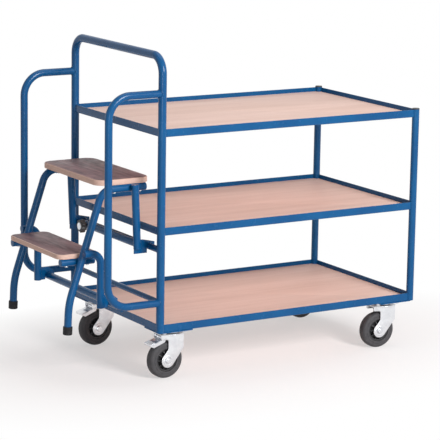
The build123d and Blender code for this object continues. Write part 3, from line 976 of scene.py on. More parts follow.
@dataclass
class Assembly:
    """What every sub-assembly does with a finished shape; body is what its pieces move with."""

    palette: Palette
    made: list[str] = field(default_factory=list, init=False)
    body = "trolley"

    def settle(
        self,
        shape: Shape,
        name: str,
        slot: Slot,
        *nodes: str,
        body: str = "",
        sharp: float = 32.0,
        also: tuple = (),
    ) -> None:
        """Make the object, dress it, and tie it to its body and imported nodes.

        Args:
            shape: Gathered surfaces.
            name: Name of the piece.
            slot: Its material slot.
            *nodes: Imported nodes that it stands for.
            body: The body it moves with, where it isn't the sub-assembly's own.
            sharp: Angle in degrees above which an edge stays sharp.
            also: Further materials by index.
        """
        piece = shape.object(name, sharp)
        self.palette.dress(piece, slot, *also)
        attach(piece, body or self.body)
        if nodes:
            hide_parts(*nodes)
        self.made.append(name)


# The trolley


@dataclass
class TrolleyFrame(Assembly):
    """Push handle, posts, guard rails and cross bars, with their welds and caps."""

    handle_r: float = 0.01345
    handle_bend: float = 0.057
    post_r: float = 0.0125
    guard_bend: float = 0.075
    upper_bar_r: float = 0.01065
    low_cross_r: float = 0.009
    lower_bar_r: float = 0.0125
    cap_round: float = 0.0018

    def __post_init__(self) -> None:
        """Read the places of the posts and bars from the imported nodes."""
        low, high = box("handle_frame")
        self.foot, self.top = low[2], high[2] - self.handle_r
        self.half = high[1] - self.handle_r
        self.left = (low[0] + high[0]) / 2
        low, high = box("right_post_near")
        self.right, self.post_top = (low[0] + high[0]) / 2, high[2]
        low, high = box("guard_rail_near")
        self.guard_x = low[0] + self.post_r
        self.guard_top, self.guard_low = high[2] - self.post_r, low[2] + self.post_r
        self.upper_z = box("upper_bar")[0][2] + self.upper_bar_r
        self.cross_z = box("low_cross_tube")[0][2] + self.low_cross_r
        self.lower_x = box("lower_bar")[0][0] + self.lower_bar_r

    def build(self) -> None:
        """Make the tubes, then their welds and caps."""
        self.handle()
        self.posts()
        self.guards()
        self.bars()
        self.welds()
        self.caps()

    def handle(self) -> None:
        """One tube up, across and down, its two feet open."""
        y = self.half
        corners = [(-y, self.foot), (-y, self.top), (y, self.top), (y, self.foot)]
        route = rounded_route(np.array([(self.left, *c) for c in corners]), [self.handle_bend] * 2, 22)
        shape = tube(Shape(), route, self.handle_r, X, (End.OPEN, End.OPEN), around=48)
        self.settle(shape, "push_handle_tube", Slot.PAINT, "handle_frame")

    def posts(self) -> None:
        """Two short posts at the far end of the shelves, open below."""
        for side, y in both_sides(self.half):
            route = np.array([(self.right, y, self.foot), (self.right, y, self.post_top)])
            shape = tube(Shape(), route, self.post_r, X, (End.OPEN, End.CLOSED))
            self.settle(shape, f"short_post_{side}", Slot.PAINT, f"right_post_{side}")

    def guards(self) -> None:
        """A loop beside each left post, its ends buried in the post."""
        for side, y in both_sides(self.half):
            ends = ((self.left, self.guard_top), (self.guard_x, self.guard_top))
            ends += ((self.guard_x, self.guard_low), (self.left, self.guard_low))
            corners = [(x, y, z) for x, z in ends]
            route = rounded_route(np.array(corners), [self.guard_bend] * 2, 24)
            shape = tube(Shape(), route, self.post_r, Y)
            self.settle(shape, f"guard_loop_{side}", Slot.PAINT, f"guard_rail_{side}")

    def bars(self) -> None:
        """Three straight bars across the step end."""
        for name, node, x, z, radius in (
            ("hanging_bar_upper", "upper_bar", self.left, self.upper_z, self.upper_bar_r),
            ("cross_tube_low", "low_cross_tube", self.left, self.cross_z, self.low_cross_r),
            ("hanging_bar_lower", "lower_bar", self.lower_x, self.guard_low, self.lower_bar_r),
        ):
            route = straight(point(x, -self.half, z), point(x, self.half, z))
            self.settle(tube(Shape(), route, radius, X), name, Slot.PAINT, node)

    def welds(self) -> None:
        """Beads round every tube that meets a post or a guard rail."""
        shape = Shape()
        for y in (-self.half, self.half):
            inward = -np.sign(y) * Y
            for z in (self.guard_top, self.guard_low):
                saddle_weld(shape, point(self.left, y, z), Z, -X, self.handle_r, self.post_r)
            for z, radius in ((self.upper_z, self.upper_bar_r), (self.cross_z, self.low_cross_r)):
                saddle_weld(shape, point(self.left, y, z), Z, inward, self.handle_r, radius)
            low = point(self.lower_x, y, self.guard_low)
            saddle_weld(shape, low, X, inward, self.post_r, self.lower_bar_r)
        self.settle(shape, "frame_weld_beads", Slot.PAINT, sharp=60)

    def caps(self) -> None:
        """Moulded caps on the short posts: a low crown with a soft rim."""
        low, high = box("post_caps")
        height, radius = high[2] - self.post_top, (high[1] - low[1]) / 2 - self.half
        growing, falling = quarter_round(self.cap_round, 7)
        rim = np.stack([height - 0.0004 - falling, radius - growing], 1)
        plug = [(-0.012, 0), (-0.012, 0.0098), (0, 0.0102), (0, radius)]
        rows = np.concatenate([plug, rim, [(height - 0.0001, radius * 0.5), (height, 0)]])
        shape = Shape()
        for y in (-self.half, self.half):
            lathe(shape, rows, point(self.right, y, self.post_top), Z)
        self.settle(shape, "post_caps_moulded", Slot.PLASTIC, "post_caps")


@dataclass
class ShelfTier(Assembly):
    """One shelf: four angle rails with their welds, and the board lying in them."""

    level: str
    frame: TrolleyFrame
    leg: float = 0.025
    wall: float = 0.003
    outset: float = 0.005
    bend_out: float = 0.0028
    bend_in: float = 0.0012
    edge: float = 0.0008
    gap: float = 0.001
    clearance: float = 0.0015

    def __post_init__(self) -> None:
        """Take the tier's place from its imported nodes."""
        low, high = box(f"{self.level}_shelf_rails")
        self.base, self.height = low[2], high[2] - low[2]

    def build(self) -> None:
        """Make rails, welds and board."""
        self.rails()
        self.welds()
        self.board()

    def corners(self, width: float | Array) -> Array:
        """The four corners of the shelf's outline moved inwards by each width."""
        out = self.outset - np.atleast_1d(width)
        left, right, half = self.frame.left - out, self.frame.right + out, self.frame.half + out
        return np.stack([[left, -half], [right, -half], [right, half], [left, half]]).transpose(0, 2, 1)

    def rails(self) -> None:
        """An angle section of (width inwards, height) carried between mitred corners."""
        leg, wall, height = self.leg, self.wall, self.height
        corners = [(0, 0), (leg, 0), (leg, wall), (wall, wall), (wall, height), (0, height)]
        bends = [self.bend_out, self.edge, self.edge, self.bend_in, self.edge, self.edge]
        section = rounded_outline(np.array(corners), np.array(bends), 5)
        places = self.corners(section[:, 0])
        heights = self.base + section[:, 1:]
        shape = Shape()
        for index in range(4):
            ends = [np.hstack([places[i % 4], heights]) for i in (index, index + 1)]
            share = np.linspace(0, 1, 9)[:, None, None]
            rings = ends[0] + (ends[1] - ends[0]) * share
            shape.grid(rings[:, ::-1])
        self.settle(shape, f"{self.level}_angle_rails", Slot.PAINT, f"{self.level}_shelf_rails")

    def welds(self) -> None:
        """Upright beads where the rails' rims end on the posts, outside and inside."""
        shape = Shape()
        for x, post_r in ((self.frame.left, self.frame.handle_r), (self.frame.right, self.frame.post_r)):
            for y in (-self.frame.half, self.frame.half):
                inward = point(-np.sign(x), -np.sign(y), 0)
                for offset in (self.outset, self.outset - self.wall):
                    reach = math.sqrt(post_r**2 - offset**2)
                    for spot in ((reach, -offset), (-offset, reach)):
                        place = point(x + inward[0] * spot[0], y + inward[1] * spot[1], self.base)
                        run_weld(shape, place + 0.001 * Z, place + (self.height - 0.001) * Z, 0.0016)
        self.settle(shape, f"{self.level}_rail_weld_beads", Slot.PAINT, sharp=60)

    def board(self) -> None:
        """A veneered board, its corners notched by arcs round the posts."""
        reach = self.outset - self.wall - self.gap
        low, high = box(f"{self.level}_shelf_board")
        outline = []
        frame = self.frame
        for x, y, post_r in (
            (frame.left, -frame.half, frame.handle_r),
            (frame.right, -frame.half, frame.post_r),
            (frame.right, frame.half, frame.post_r),
            (frame.left, frame.half, frame.handle_r),
        ):
            radius = post_r + self.clearance
            inward = math.degrees(math.atan2(-y, -x))
            inward = round((inward - 45) / 90) * 90 + 45
            half = 45 + math.degrees(math.asin(reach / radius))
            outline.append(on_circle(radius, arc(inward + half, inward - half, 15), x, y))
        points, level = np.concatenate(outline), self.level
        shape = plate(Shape(), points, point(0, 0, low[2]), X, Y, high[2] - low[2], (0.0004, 0.0004))
        self.settle(shape, f"{level}_veneered_board", Slot.BEECH, f"{level}_shelf_board", sharp=25)


@dataclass(frozen=True)
class CasterPlace:
    """Where one caster stands and how its fork is turned."""

    name: str
    swivel: Array
    turn: float
    braked: bool

    @classmethod
    def read(cls, name: str, joints: list[dict]) -> "CasterPlace":
        """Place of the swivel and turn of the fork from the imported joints.

        Args:
            name: Corner of the trolley.
            joints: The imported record's joints.

        Returns:
            The place.
        """
        by_name = {joint["name"]: joint for joint in joints}
        swivel, spin = by_name[f"{name}_swivel"], by_name[f"{name}_wheel_spin"]
        turn = math.atan2(-spin["axis"][0], spin["axis"][1])
        braked = f"{name}_brake_press" in by_name
        return cls(name, point(*swivel["pos_m"]), turn, braked)

    @property
    def ahead(self) -> Array:
        """Horizontal direction away from the trailing wheel."""
        return point(math.cos(self.turn), math.sin(self.turn), 0)

    @property
    def across(self) -> Array:
        """Direction of the axle."""
        return point(-math.sin(self.turn), math.cos(self.turn), 0)

    def at(self, x: float, y: float, z: float) -> Array:
        """A point given along the fork, across it and above the floor."""
        return self.swivel * (1, 1, 0) + x * self.ahead + y * self.across + z * Z


@dataclass
class CasterHeads(Assembly):
    """The parts of the casters that stay with the frame: plates, races, kingpins and bolts."""

    places: list[CasterPlace]
    gusset: tuple = (0.130, 0.106, 0.004)
    plate_size: tuple = (0.105, 0.085, 0.0035)
    corner_r: float = 0.008
    inset: tuple = (0.078, 0.063)
    bolts: tuple = (0.040, 0.030)
    bolt_head: tuple = (0.0075, 0.0026, 0.002)
    nut: tuple = (0.013, 0.0065)
    bolt_tip: tuple = ((0.006, 0), (0.006, 0.0039), (0.0074, 0.0039), (0.008, 0.0033), (0.008, 0))
    race_r: float = 0.032
    race_height: float = 0.010

    def __post_init__(self) -> None:
        """Read the height of the frame's foot."""
        self.frame_foot = box("corner_plates")[1][2]

    def rectangle(self, size: tuple, middle: tuple = (0, 0)) -> Array:
        """A rounded rectangle about a point."""
        half = np.array(size[:2]) / 2
        corners = np.array([(-1, -1), (1, -1), (1, 1), (-1, 1)]) * half + np.array(middle)
        return rounded_outline(corners, self.corner_r, 8)

    def build(self) -> None:
        """Make one piece of each kind, with all four casters in it."""
        gussets, plates, races, pins, bolts = (Shape() for _ in range(5))
        under = self.frame_foot - self.gusset[2]
        plate_base = under - self.plate_size[2]
        for place in self.places:
            x, y = place.swivel[:2]
            spot = point(x, y, 0)
            shift = [np.sign(v) * (room - size / 2) for v, room, size in zip((x, y), self.inset, self.gusset)]
            plate(gussets, self.rectangle(self.gusset, tuple(shift)), spot + under * Z, X, Y, self.gusset[2])
            plate(plates, self.rectangle(self.plate_size), spot + plate_base * Z, X, Y, self.plate_size[2])
            self.race(races, spot + plate_base * Z)
            self.kingpin(pins, place.swivel)
            for step_x in (-self.bolts[0], self.bolts[0]):
                for step_y in (-self.bolts[1], self.bolts[1]):
                    hole = spot + step_x * X + step_y * Y
                    dome_head(bolts, hole + self.frame_foot * Z, Z, *self.bolt_head)
                    hex_prism(bolts, hole + plate_base * Z, -Z, *self.nut)
                    lathe(bolts, self.bolt_tip, hole + plate_base * Z, -Z, 24)
        self.settle(gussets, "corner_gusset_plates", Slot.PAINT, "corner_plates")
        self.settle(plates, "caster_mounting_plates", Slot.PRESSED, "caster_top_plates")
        self.settle(races, "double_ball_races", Slot.PRESSED, "swivel_races")
        self.settle(pins, "riveted_kingpins", Slot.FASTENER, "kingpins")
        self.settle(bolts, "mounting_bolts_and_nuts", Slot.FASTENER, "caster_bolts")

    def race(self, shape: Shape, top: Array) -> None:
        """Upper and lower cup with a dust gap between them."""
        h, r = self.race_height, self.race_r
        rows = [(0, 0), (0, r), (0.35 * h, r), (0.45 * h, r - 0.0006), (0.5 * h, r - 0.0022)]
        rows += [(0.56 * h, r - 0.0022), (0.6 * h, r - 0.0008), (0.72 * h, r - 0.0008)]
        rows += [(0.9 * h, r - 0.003), (h, r - 0.006), (h, 0)]
        lathe(shape, rows, top, -Z, 56)

    def kingpin(self, shape: Shape, crown: Array) -> None:
        """Riveted head under the crown and the shank through it."""
        quarter = arc(90, 0, 7)
        head = np.stack([0.0029 + 0.0025 * np.cos(quarter), 0.012 - 0.0045 * (1 - np.sin(quarter))], 1)
        shank = [(-0.013, 0), (-0.013, 0.006), (0.0004, 0.006), (0.0004, 0.012)]
        lathe(shape, np.concatenate([shank, head, [(0.0054, 0)]]), crown, -Z, 36)


@dataclass
class Caster(Assembly):
    """One swivel fork with its wheel, axle and, on the step end, a brake pedal."""

    place: CasterPlace
    inside: float = 0.046
    sheet: float = 0.003
    crown_r: float = 0.040
    front: float = 0.037
    back: float = -0.050
    skirt: float = 0.019
    shin_back: float = -0.022
    shin_height: float = 0.100
    boss_r: float = 0.024
    trail: float = 0.023
    wheel_r: float = 0.062
    seat_r: float = 0.039
    tyre_half: float = 0.018
    dish: float = 0.0015
    pin_x: float = -0.036
    pin_drop: float = 0.012
    pedal_width: float = 0.043
    pedal_reach: float = 0.056
    pedal_tilt: float = 20.0
    ribs: int = 10

    def __post_init__(self) -> None:
        """Keep the heights of the crown and the reach of the fork's sides."""
        place = self.place
        self.crown_base = place.swivel[2]
        self.crown_top = self.crown_base + self.sheet
        self.outside = self.inside / 2 + self.sheet

    def build(self) -> None:
        """Make fork, axle, wheel and pedal."""
        self.fork()
        self.axle()
        self.wheel()
        if self.place.braked:
            self.pedal()

    def leg_outline(self) -> Array:
        """Outline of a fork side: skirt, leg tapering to the round boss, and front edge.

        The taper lines are the tangents from the leg's two lower corners to the boss circle.
        """
        hub = np.array([-self.trail, self.wheel_r])
        back_foot = np.array([self.shin_back, self.shin_height])
        front_foot = np.array([self.front, self.shin_height])
        left, _ = tangent_points(back_foot, hub, self.boss_r)
        _, right = tangent_points(front_foot, hub, self.boss_r)
        boss = on_circle(self.boss_r, np.linspace(left, right + 2 * np.pi, 30), *hub)
        low, top = self.crown_top - self.skirt, self.crown_top
        skirt = [(self.front, top), (self.back, top), (self.back, low), (self.shin_back, low)]
        upper = np.array([boss[-1], front_foot, *skirt, back_foot, boss[0]])
        flat = np.hstack([upper, np.zeros((len(upper), 1))])
        bends = [0.008, 0.002, 0.002, 0.006, 0.007, 0.008]
        return np.concatenate([rounded_route(flat, bends, 6)[:, :2], boss[1:-1]])

    def fork(self) -> None:
        """Crown plate and two pressed sides with a ring round each axle hole."""
        place, shape = self.place, Shape()
        outline = self.leg_outline()
        pressed, inner, outside = 0.0017, 0.0005, self.outside
        plate(shape, outline, place.at(0, -self.inside / 2, 0), place.ahead, Z, self.sheet, (inner, pressed))
        plate(shape, outline, place.at(0, outside, 0), place.ahead, Z, self.sheet, (pressed, inner))
        step = math.degrees(math.asin(outside / self.crown_r))
        right, left = (on_circle(self.crown_r, arc(a + step, a + 180 - step, 25)) for a in (0, 180))
        ends = [(self.back, outside), (self.back, -outside)], [(self.front, -outside), (self.front, outside)]
        crown = np.concatenate([right, ends[0], left, ends[1]])
        base = place.at(0, 0, self.crown_base)
        plate(shape, crown, base, place.ahead, place.across, self.sheet, (0.0004, 0.0012))
        r = 0.018
        rows = [(-0.001, 0), (-0.001, r + 0.001), (0.0003, r + 0.0006), (0.0012, r - 0.0005)]
        rows += [(0.0015, r - 0.0018), (0.0015, r - 0.005)]
        rows += [(0.0011, r - 0.0062), (0.0006, r - 0.0066), (0.0006, 0)]
        for side in (-1, 1):
            centre = place.at(-self.trail, side * self.outside, self.wheel_r)
            lathe(shape, rows, centre, side * place.across, 48)
        name = place.name
        self.settle(shape, f"{name}_pressed_fork", Slot.PRESSED, f"{name}_fork", body=f"{name}_swivel")

    def axle(self) -> None:
        """Hexagon bolt, washers and nut through the fork, and the pedal's pin."""
        place, shape = self.place, Shape()
        face = self.outside + self.dish
        for side, height in ((-1, 0.006), (1, 0.008)):
            seat = place.at(-self.trail, side * face, self.wheel_r)
            washer(shape, seat - side * 0.0008 * place.across, side * place.across, 0.0105, 0.001)
            hex_prism(shape, seat, side * place.across, 0.017, height)
        length = face * 2 + 0.009
        rows = [(0, 0), (0, 0.005), (length, 0.005), (length + 0.0005, 0.0043), (length + 0.0005, 0)]
        lathe(shape, rows, place.at(-self.trail, -face, self.wheel_r), place.across, 32)
        if place.braked:
            half = self.outside + 0.0015
            rows = [(0, 0), (0, 0.0026), (0.0005, 0.003)]
            rows += [(2 * half - a, b) for a, b in rows[::-1]]
            lathe(shape, rows, place.at(self.pin_x, -half, self.pin_height), place.across, 24)
        name = place.name
        self.settle(shape, f"{name}_axle_bolt", Slot.FASTENER, f"{name}_axle", body=f"{name}_swivel")

    @property
    def pin_height(self) -> float:
        """Height of the pedal's pin above the floor."""
        return self.crown_base - self.pin_drop

    def wheel(self) -> None:
        """Black moulded centre with ribs, a bearing tube, and the grey tyre."""
        place = self.place
        name, hub = place.name, place.at(-self.trail, 0, self.wheel_r)
        rim = [(0.006, 0.0185), (0.006, 0.031), (0.0145, 0.033), (0.015, self.seat_r)]
        half = np.array([(0.022, 0.0112), (0.022, 0.0165), *rim])
        section = rounded_outline(np.concatenate([half * (-1, 1), half[::-1]])[::-1], 0.0009, 4)
        centre = turned_ring(Shape(), section, hub, place.across, 72)
        for angle in full_turn(self.ribs):
            outward = math.cos(angle) * place.ahead + math.sin(angle) * Z
            for side in (-1, 1):
                axis = side * place.across
                rib = np.array([(0.0165, 0.005), (0.0335, 0.005), (0.0335, 0.0125), (0.0165, 0.0185)])
                grow = np.cross(outward, axis)
                plate(centre, rounded_outline(rib, 0.0006, 3), hub - 0.0014 * grow, outward, axis, 0.0028)
        body = f"{name}_wheel"
        self.settle(centre, f"{body}_centre_moulded", Slot.PLASTIC, f"{body}_centre", body=body)
        tube_wall = np.array([(-0.022, 0.0051), (0.022, 0.0051), (0.022, 0.0108), (-0.022, 0.0108)])
        bearing = turned_ring(Shape(), rounded_outline(tube_wall, 0.0005, 3), hub, place.across, 40)
        self.settle(bearing, f"{name}_roller_bearing", Slot.FASTENER, f"{name}_bearing", body=body)
        w, r = self.tyre_half, self.wheel_r
        groove = [(w, 0.0455), (w - 0.0009, 0.0462), (w - 0.0009, 0.0476), (w, 0.0483)]
        side = [(w, self.seat_r), *groove, (w, r)]
        corners = np.array(side + [(-a, b) for a, b in side[::-1]])
        radii = np.array([0.0005, 0.0005, 0.0003, 0.0003, 0.0005, 0.011])
        tread = rounded_outline(corners, np.concatenate([radii, radii[::-1]]), 9)
        tyre = turned_ring(Shape(), tread, hub, place.across, 96)
        self.settle(tyre, f"{name}_solid_tyre", Slot.TYRE, f"{name}_tyre", body=body)

    def pedal(self) -> None:
        """Sloping lever with down-turned sides, a ridged pad and a barrel on the pin."""
        place, shape = self.place, Shape()
        tilt = math.radians(self.pedal_tilt)
        down = -math.cos(tilt) * place.ahead - math.sin(tilt) * Z
        top = math.cos(tilt) * Z - math.sin(tilt) * place.ahead
        pin = place.at(self.pin_x, 0, self.pin_height)
        half, reach = self.pedal_width / 2, self.pedal_reach
        corners = np.array([(0, -half), (reach, -half), (reach, half), (0, half)])
        outline = rounded_outline(corners, np.array([0.001, 0.005, 0.005, 0.001]), 7)
        plate(shape, outline, pin + 0.0015 * top, down, place.across, 0.003, (0.001, 0.0005))
        heel = [(-0.004, 0.0012), (-0.004, -0.006), (0.002, -0.012)]
        toe = [(0.046, -0.012), (0.055, -0.004), (0.055, 0.0012)]
        skirt = rounded_outline(np.array(heel + toe), 0.0018, 5)
        for y in (-half, half - 0.002):
            plate(shape, skirt, pin + y * place.across, down, top, 0.002, (0.0006, 0.0006))
        ridges = np.linspace(reach - 0.0005, reach - 0.0195, 21)
        crest = 0.0036 + 0.0009 * (np.arange(21) % 2)
        base = [(reach - 0.0195, -0.004), (reach - 0.0005, -0.004)]
        pad = np.concatenate([np.stack([ridges, crest], 1), base])
        grip = rounded_outline(pad, 0.0002, 3)
        plate(shape, grip, pin - (half - 0.001) * place.across, down, top, 2 * half - 0.002, (0.0004, 0.0004))
        rows = [(0, 0), (0, 0.0058), (0.0007, 0.0065)]
        rows += [(2 * half - a, b) for a, b in rows[::-1]]
        lathe(shape, rows, pin - half * place.across, place.across, 32)
        name = place.name
        node, body = f"{name}_brake_pedal", f"{name}_brake"
        self.settle(shape, f"{name}_pedal_lever", Slot.PRESSED, node, body=body, sharp=28)


@dataclass
class StepUnit(Assembly):
    """The two-step unit that hangs on the bars: tubes, hooks, boards, caps and screws.

    Places count from the left posts. The knee, shoulder and foot of a leg are X, Z and a bend
    or length; a board is its front, back, width, thickness and corner radius.
    """

    body = "step_unit"
    frame: TrolleyFrame

    tube_r: float = 0.0125
    leg_y: float = 0.200
    outer_y: float = 0.226
    run_z: float = 0.640
    knee: tuple = (-0.282, 0.275, 0.260)
    shoulder: tuple = (-0.161, 0.640, 0.052)
    foot: tuple = (-0.286, 0.175, 0.004)
    run_end: float = -0.005
    upper: tuple = (-0.180, 0.016, 0.410, 0.018, 0.038)
    lower: tuple = (-0.310, -0.168, 0.370, 0.015, 0.026)
    edge_round: float = 0.004
    rear: tuple = (-0.056, -0.046, 0.440)
    cross: tuple = (-0.0242, 0.447)
    arch_start: float = -0.240
    arch_x: float = -0.180
    arch_z: float = 0.440
    arch_low: float = 0.258
    arch_bend: float = 0.038
    support: tuple = (-0.300, -0.180)
    hook_half: float = 0.0025
    hook_gap: float = 0.0004
    hook_back: float = -0.058
    hook_front: float = 0.017
    hook_slope_x: float = -0.025
    hook_bottom: float = 0.424
    hook_lip: float = 0.429
    hook_tip_top: float = 0.4595
    hook_top: float = 0.469
    low_hook_back: float = -0.192
    low_hook_lip: float = 0.009
    low_hook_bottom: float = 0.257
    low_hook_tip_top: float = 0.2825
    low_hook_top: float = 0.300
    upper_screws: tuple = (-0.118, -0.024)
    lower_screws: tuple = (-0.278, -0.202)

    def __post_init__(self) -> None:
        """Place the bearers of the lower board."""
        self.support_z = box("step_supports")[0][2] + self.tube_r
        self.support_y = self.leg_y - 2 * self.tube_r

    def at(self, x: float, y: float, z: float) -> Array:
        """A point whose X counts from the left posts."""
        return point(self.frame.left + x, y, z)

    def build(self) -> None:
        """Make the steel, then the boards and what is fixed to them."""
        self.legs()
        self.arches()
        self.rear_frame()
        self.supports()
        self.hooks()
        self.welds()
        self.boards()
        self.foot_caps()
        self.screws()

    def legs(self) -> None:
        """Each leg rises from its foot, leans in at the knee and ends under the upper board."""
        for side, y in both_sides(self.leg_y):
            foot = (self.foot[0], self.foot[1] + self.foot[2])
            bends = (foot, self.knee, self.shoulder, (self.run_end, self.run_z))
            corners = [self.at(bend[0], y, bend[1]) for bend in bends]
            route = rounded_route(np.array(corners), [self.knee[2], self.shoulder[2]], 22)
            shape = tube(Shape(), route, self.tube_r, Y, (End.BURIED, End.CLOSED))
            self.settle(shape, f"step_leg_{side}", Slot.PAINT, f"leg_tube_{side}")

    def arches(self) -> None:
        """A bent tube beside each leg, down to the lower hook."""
        for side, y in both_sides(self.outer_y):
            ends = ((self.arch_start, self.arch_z), (self.arch_x, self.arch_z), (self.arch_x, self.arch_low))
            corners = [self.at(x, y, z) for x, z in ends]
            route = rounded_route(np.array(corners), [self.arch_bend], 22)
            shape = tube(Shape(), route, self.tube_r, Y, (End.CLOSED, End.CLOSED))
            self.settle(shape, f"arch_tube_{side}", Slot.PAINT, f"arch_{side}")

    def rear_frame(self) -> None:
        """Two tubes down from the upper board and one across between the hook plates."""
        top = box("upper_step")[0][2]
        for side, y in both_sides(self.outer_y):
            ends = (self.at(self.rear[0], y, top), self.at(self.rear[1], y, self.rear[2]))
            shape = tube(Shape(), straight(*ends), self.tube_r, Y, (End.BURIED, End.CLOSED))
            self.settle(shape, f"rear_upright_{side}", Slot.PAINT, f"rear_tube_{side}")
        reach = self.outer_y - self.hook_half
        ends = (self.at(self.cross[0], -reach, self.cross[1]), self.at(self.cross[0], reach, self.cross[1]))
        shape = tube(Shape(), straight(*ends), self.tube_r, X)
        self.settle(shape, "rear_cross_rail", Slot.PAINT, "rear_cross_tube")

    def supports(self) -> None:
        """Short tubes inside the legs that carry the lower board."""
        shape = Shape()
        for y in (-self.support_y, self.support_y):
            ends = [self.at(x, y, self.support_z) for x in self.support]
            tube(shape, straight(*ends), self.tube_r, Y, (End.CLOSED, End.CLOSED))
        self.settle(shape, "lower_board_bearers", Slot.PAINT, "step_supports")

    def hooks(self) -> None:
        """Plates with a slot, open below, whose round end sits over the bar."""
        reach, back, bottom = self.frame.upper_bar_r + self.hook_gap, self.hook_back, self.hook_bottom
        tip = [(reach, self.hook_lip), (self.hook_front, self.hook_lip), (self.hook_front, self.hook_tip_top)]
        crown = [(self.hook_slope_x, self.hook_top), (back, self.hook_top)]
        slot = on_circle(reach, arc(180, 0, 19), 0, self.frame.upper_z)
        upper = np.concatenate([[(back, bottom), (-reach, bottom)], slot, tip, crown])
        bar_x, reach = self.frame.lower_x - self.frame.left, self.frame.lower_bar_r + self.hook_gap
        back, bottom, lip = self.low_hook_back, self.low_hook_bottom, bar_x + reach + self.low_hook_lip
        tip = [(bar_x + reach, bottom), (lip, bottom), (lip, self.low_hook_tip_top)]
        crown = [(bar_x, self.low_hook_top), (back, self.low_hook_top)]
        slot = on_circle(reach, arc(180, 0, 19), bar_x, self.frame.guard_low)
        lower = np.concatenate([[(back, bottom), (bar_x - reach, bottom)], slot, tip, crown])
        for level, outline in (("upper", upper), ("lower", lower)):
            shape = Shape()
            for y in (-self.outer_y, self.outer_y):
                origin = self.at(0, y + self.hook_half, 0)
                plate(shape, outline, origin, X, Z, 2 * self.hook_half, (0.0005, 0.0005))
            self.settle(shape, f"hook_plates_{level}", Slot.PAINT, f"{level}_hooks")

    def leg_x(self, height: float) -> float:
        """X of a leg's axis on its sloping run at a height."""
        share = (height - self.knee[1]) / (self.shoulder[1] - self.knee[1])
        return self.knee[0] + share * (self.shoulder[0] - self.knee[0])

    def welds(self) -> None:
        """Rings at the cross tube, and runs where tubes lie side by side or meet plates."""
        shape = Shape()
        legs = (self.leg_y + self.tube_r, self.arch_z), (self.leg_y - self.tube_r, self.support_z)
        plates = (self.rear[1], 0.4425, 0.468), (self.arch_x, 0.2605, 0.299)
        for side in (-1, 1):
            reach = self.outer_y - self.hook_half
            ring_weld(shape, self.at(self.cross[0], side * reach, self.cross[1]), Y, self.tube_r)
            for beside, height in legs:
                for rise in (-self.tube_r * 0.8, self.tube_r * 0.8):
                    start = self.at(self.leg_x(height) - 0.009, side * beside, height + rise)
                    run_weld(shape, start, start + 0.018 * X, 0.0042)
            for face in (-1, 1):
                y = side * self.outer_y + face * (self.hook_half + 0.001)
                for x, low, high in plates:
                    x += self.tube_r * 0.98
                    run_weld(shape, self.at(x, y, low), self.at(x, y, high))
        self.settle(shape, "step_weld_beads", Slot.PAINT, sharp=60)

    def boards(self) -> None:
        """Plywood with round corners and edges: film above, bare layers round the side."""
        for name, node, sizes in (("upper", "upper_step", self.upper), ("lower", "lower_step", self.lower)):
            front, back, width, thickness, corner_r = sizes
            base, half = self.at(0, 0, box(node)[0][2]), width / 2
            corners = np.array([(front, -half), (back, -half), (back, half), (front, half)])
            outline = rounded_outline(corners, corner_r, 14)
            shape = plate(Shape(), outline, base, X, Y, thickness, (0.0006, self.edge_round), (1, 0))
            self.settle(shape, f"{name}_plywood_step", Slot.STEP, node, also=(self.palette.edge,))

    def foot_caps(self) -> None:
        """Ribbed rubber caps over the feet, in line with the legs."""
        shape = Shape()
        rise = unit(point(self.knee[0] - self.foot[0], 0, self.knee[1] - self.foot[1]))
        growing, falling = quarter_round(0.003, 6)
        sole = np.stack([falling, 0.0155 - growing], 1)[::-1]
        rings = []
        for height in (0.0065, 0.0105, 0.0145):
            rings += [(height, 0.0155), (height + 0.0006, 0.015)]
            rings += [(height + 0.0014, 0.015), (height + 0.002, 0.0155)]
        lip = [(0.0225, 0.0155), (0.0264, 0.0153), (0.027, 0.0146), (0.027, 0.0124), (0.0265, 0)]
        rows = np.concatenate([[(0.0008, 0), (0.0008, 0.009), (0, 0.010)], sole, rings, lip])
        for y in (-self.leg_y, self.leg_y):
            foot = self.at(self.foot[0], y, self.foot[1] + self.foot[2]) - rise * self.foot[2]
            lathe(shape, rows, foot, rise, 48)
        self.settle(shape, "rubber_foot_caps", Slot.RUBBER, "foot_caps", sharp=40)

    def screws(self) -> None:
        """Domed heads under the tubes and shanks up into the boards."""
        shape = Shape()
        shank = [(0, 0), (0, 0.003), (0.033, 0.003), (0.035, 0.001), (0.035, 0)]
        rows = [(x, self.leg_y, self.run_z) for x in self.upper_screws]
        rows += [(x, self.support_y, self.support_z) for x in self.lower_screws]
        for x, y, height in rows:
            for side in (-1, 1):
                seat = self.at(x, side * y, height - self.tube_r)
                dome_head(shape, seat, -Z, 0.0055, 0.0035, 0.002)
                lathe(shape, shank, seat, Z, 20)
        self.settle(shape, "step_board_screws", Slot.FASTENER, "step_screws")


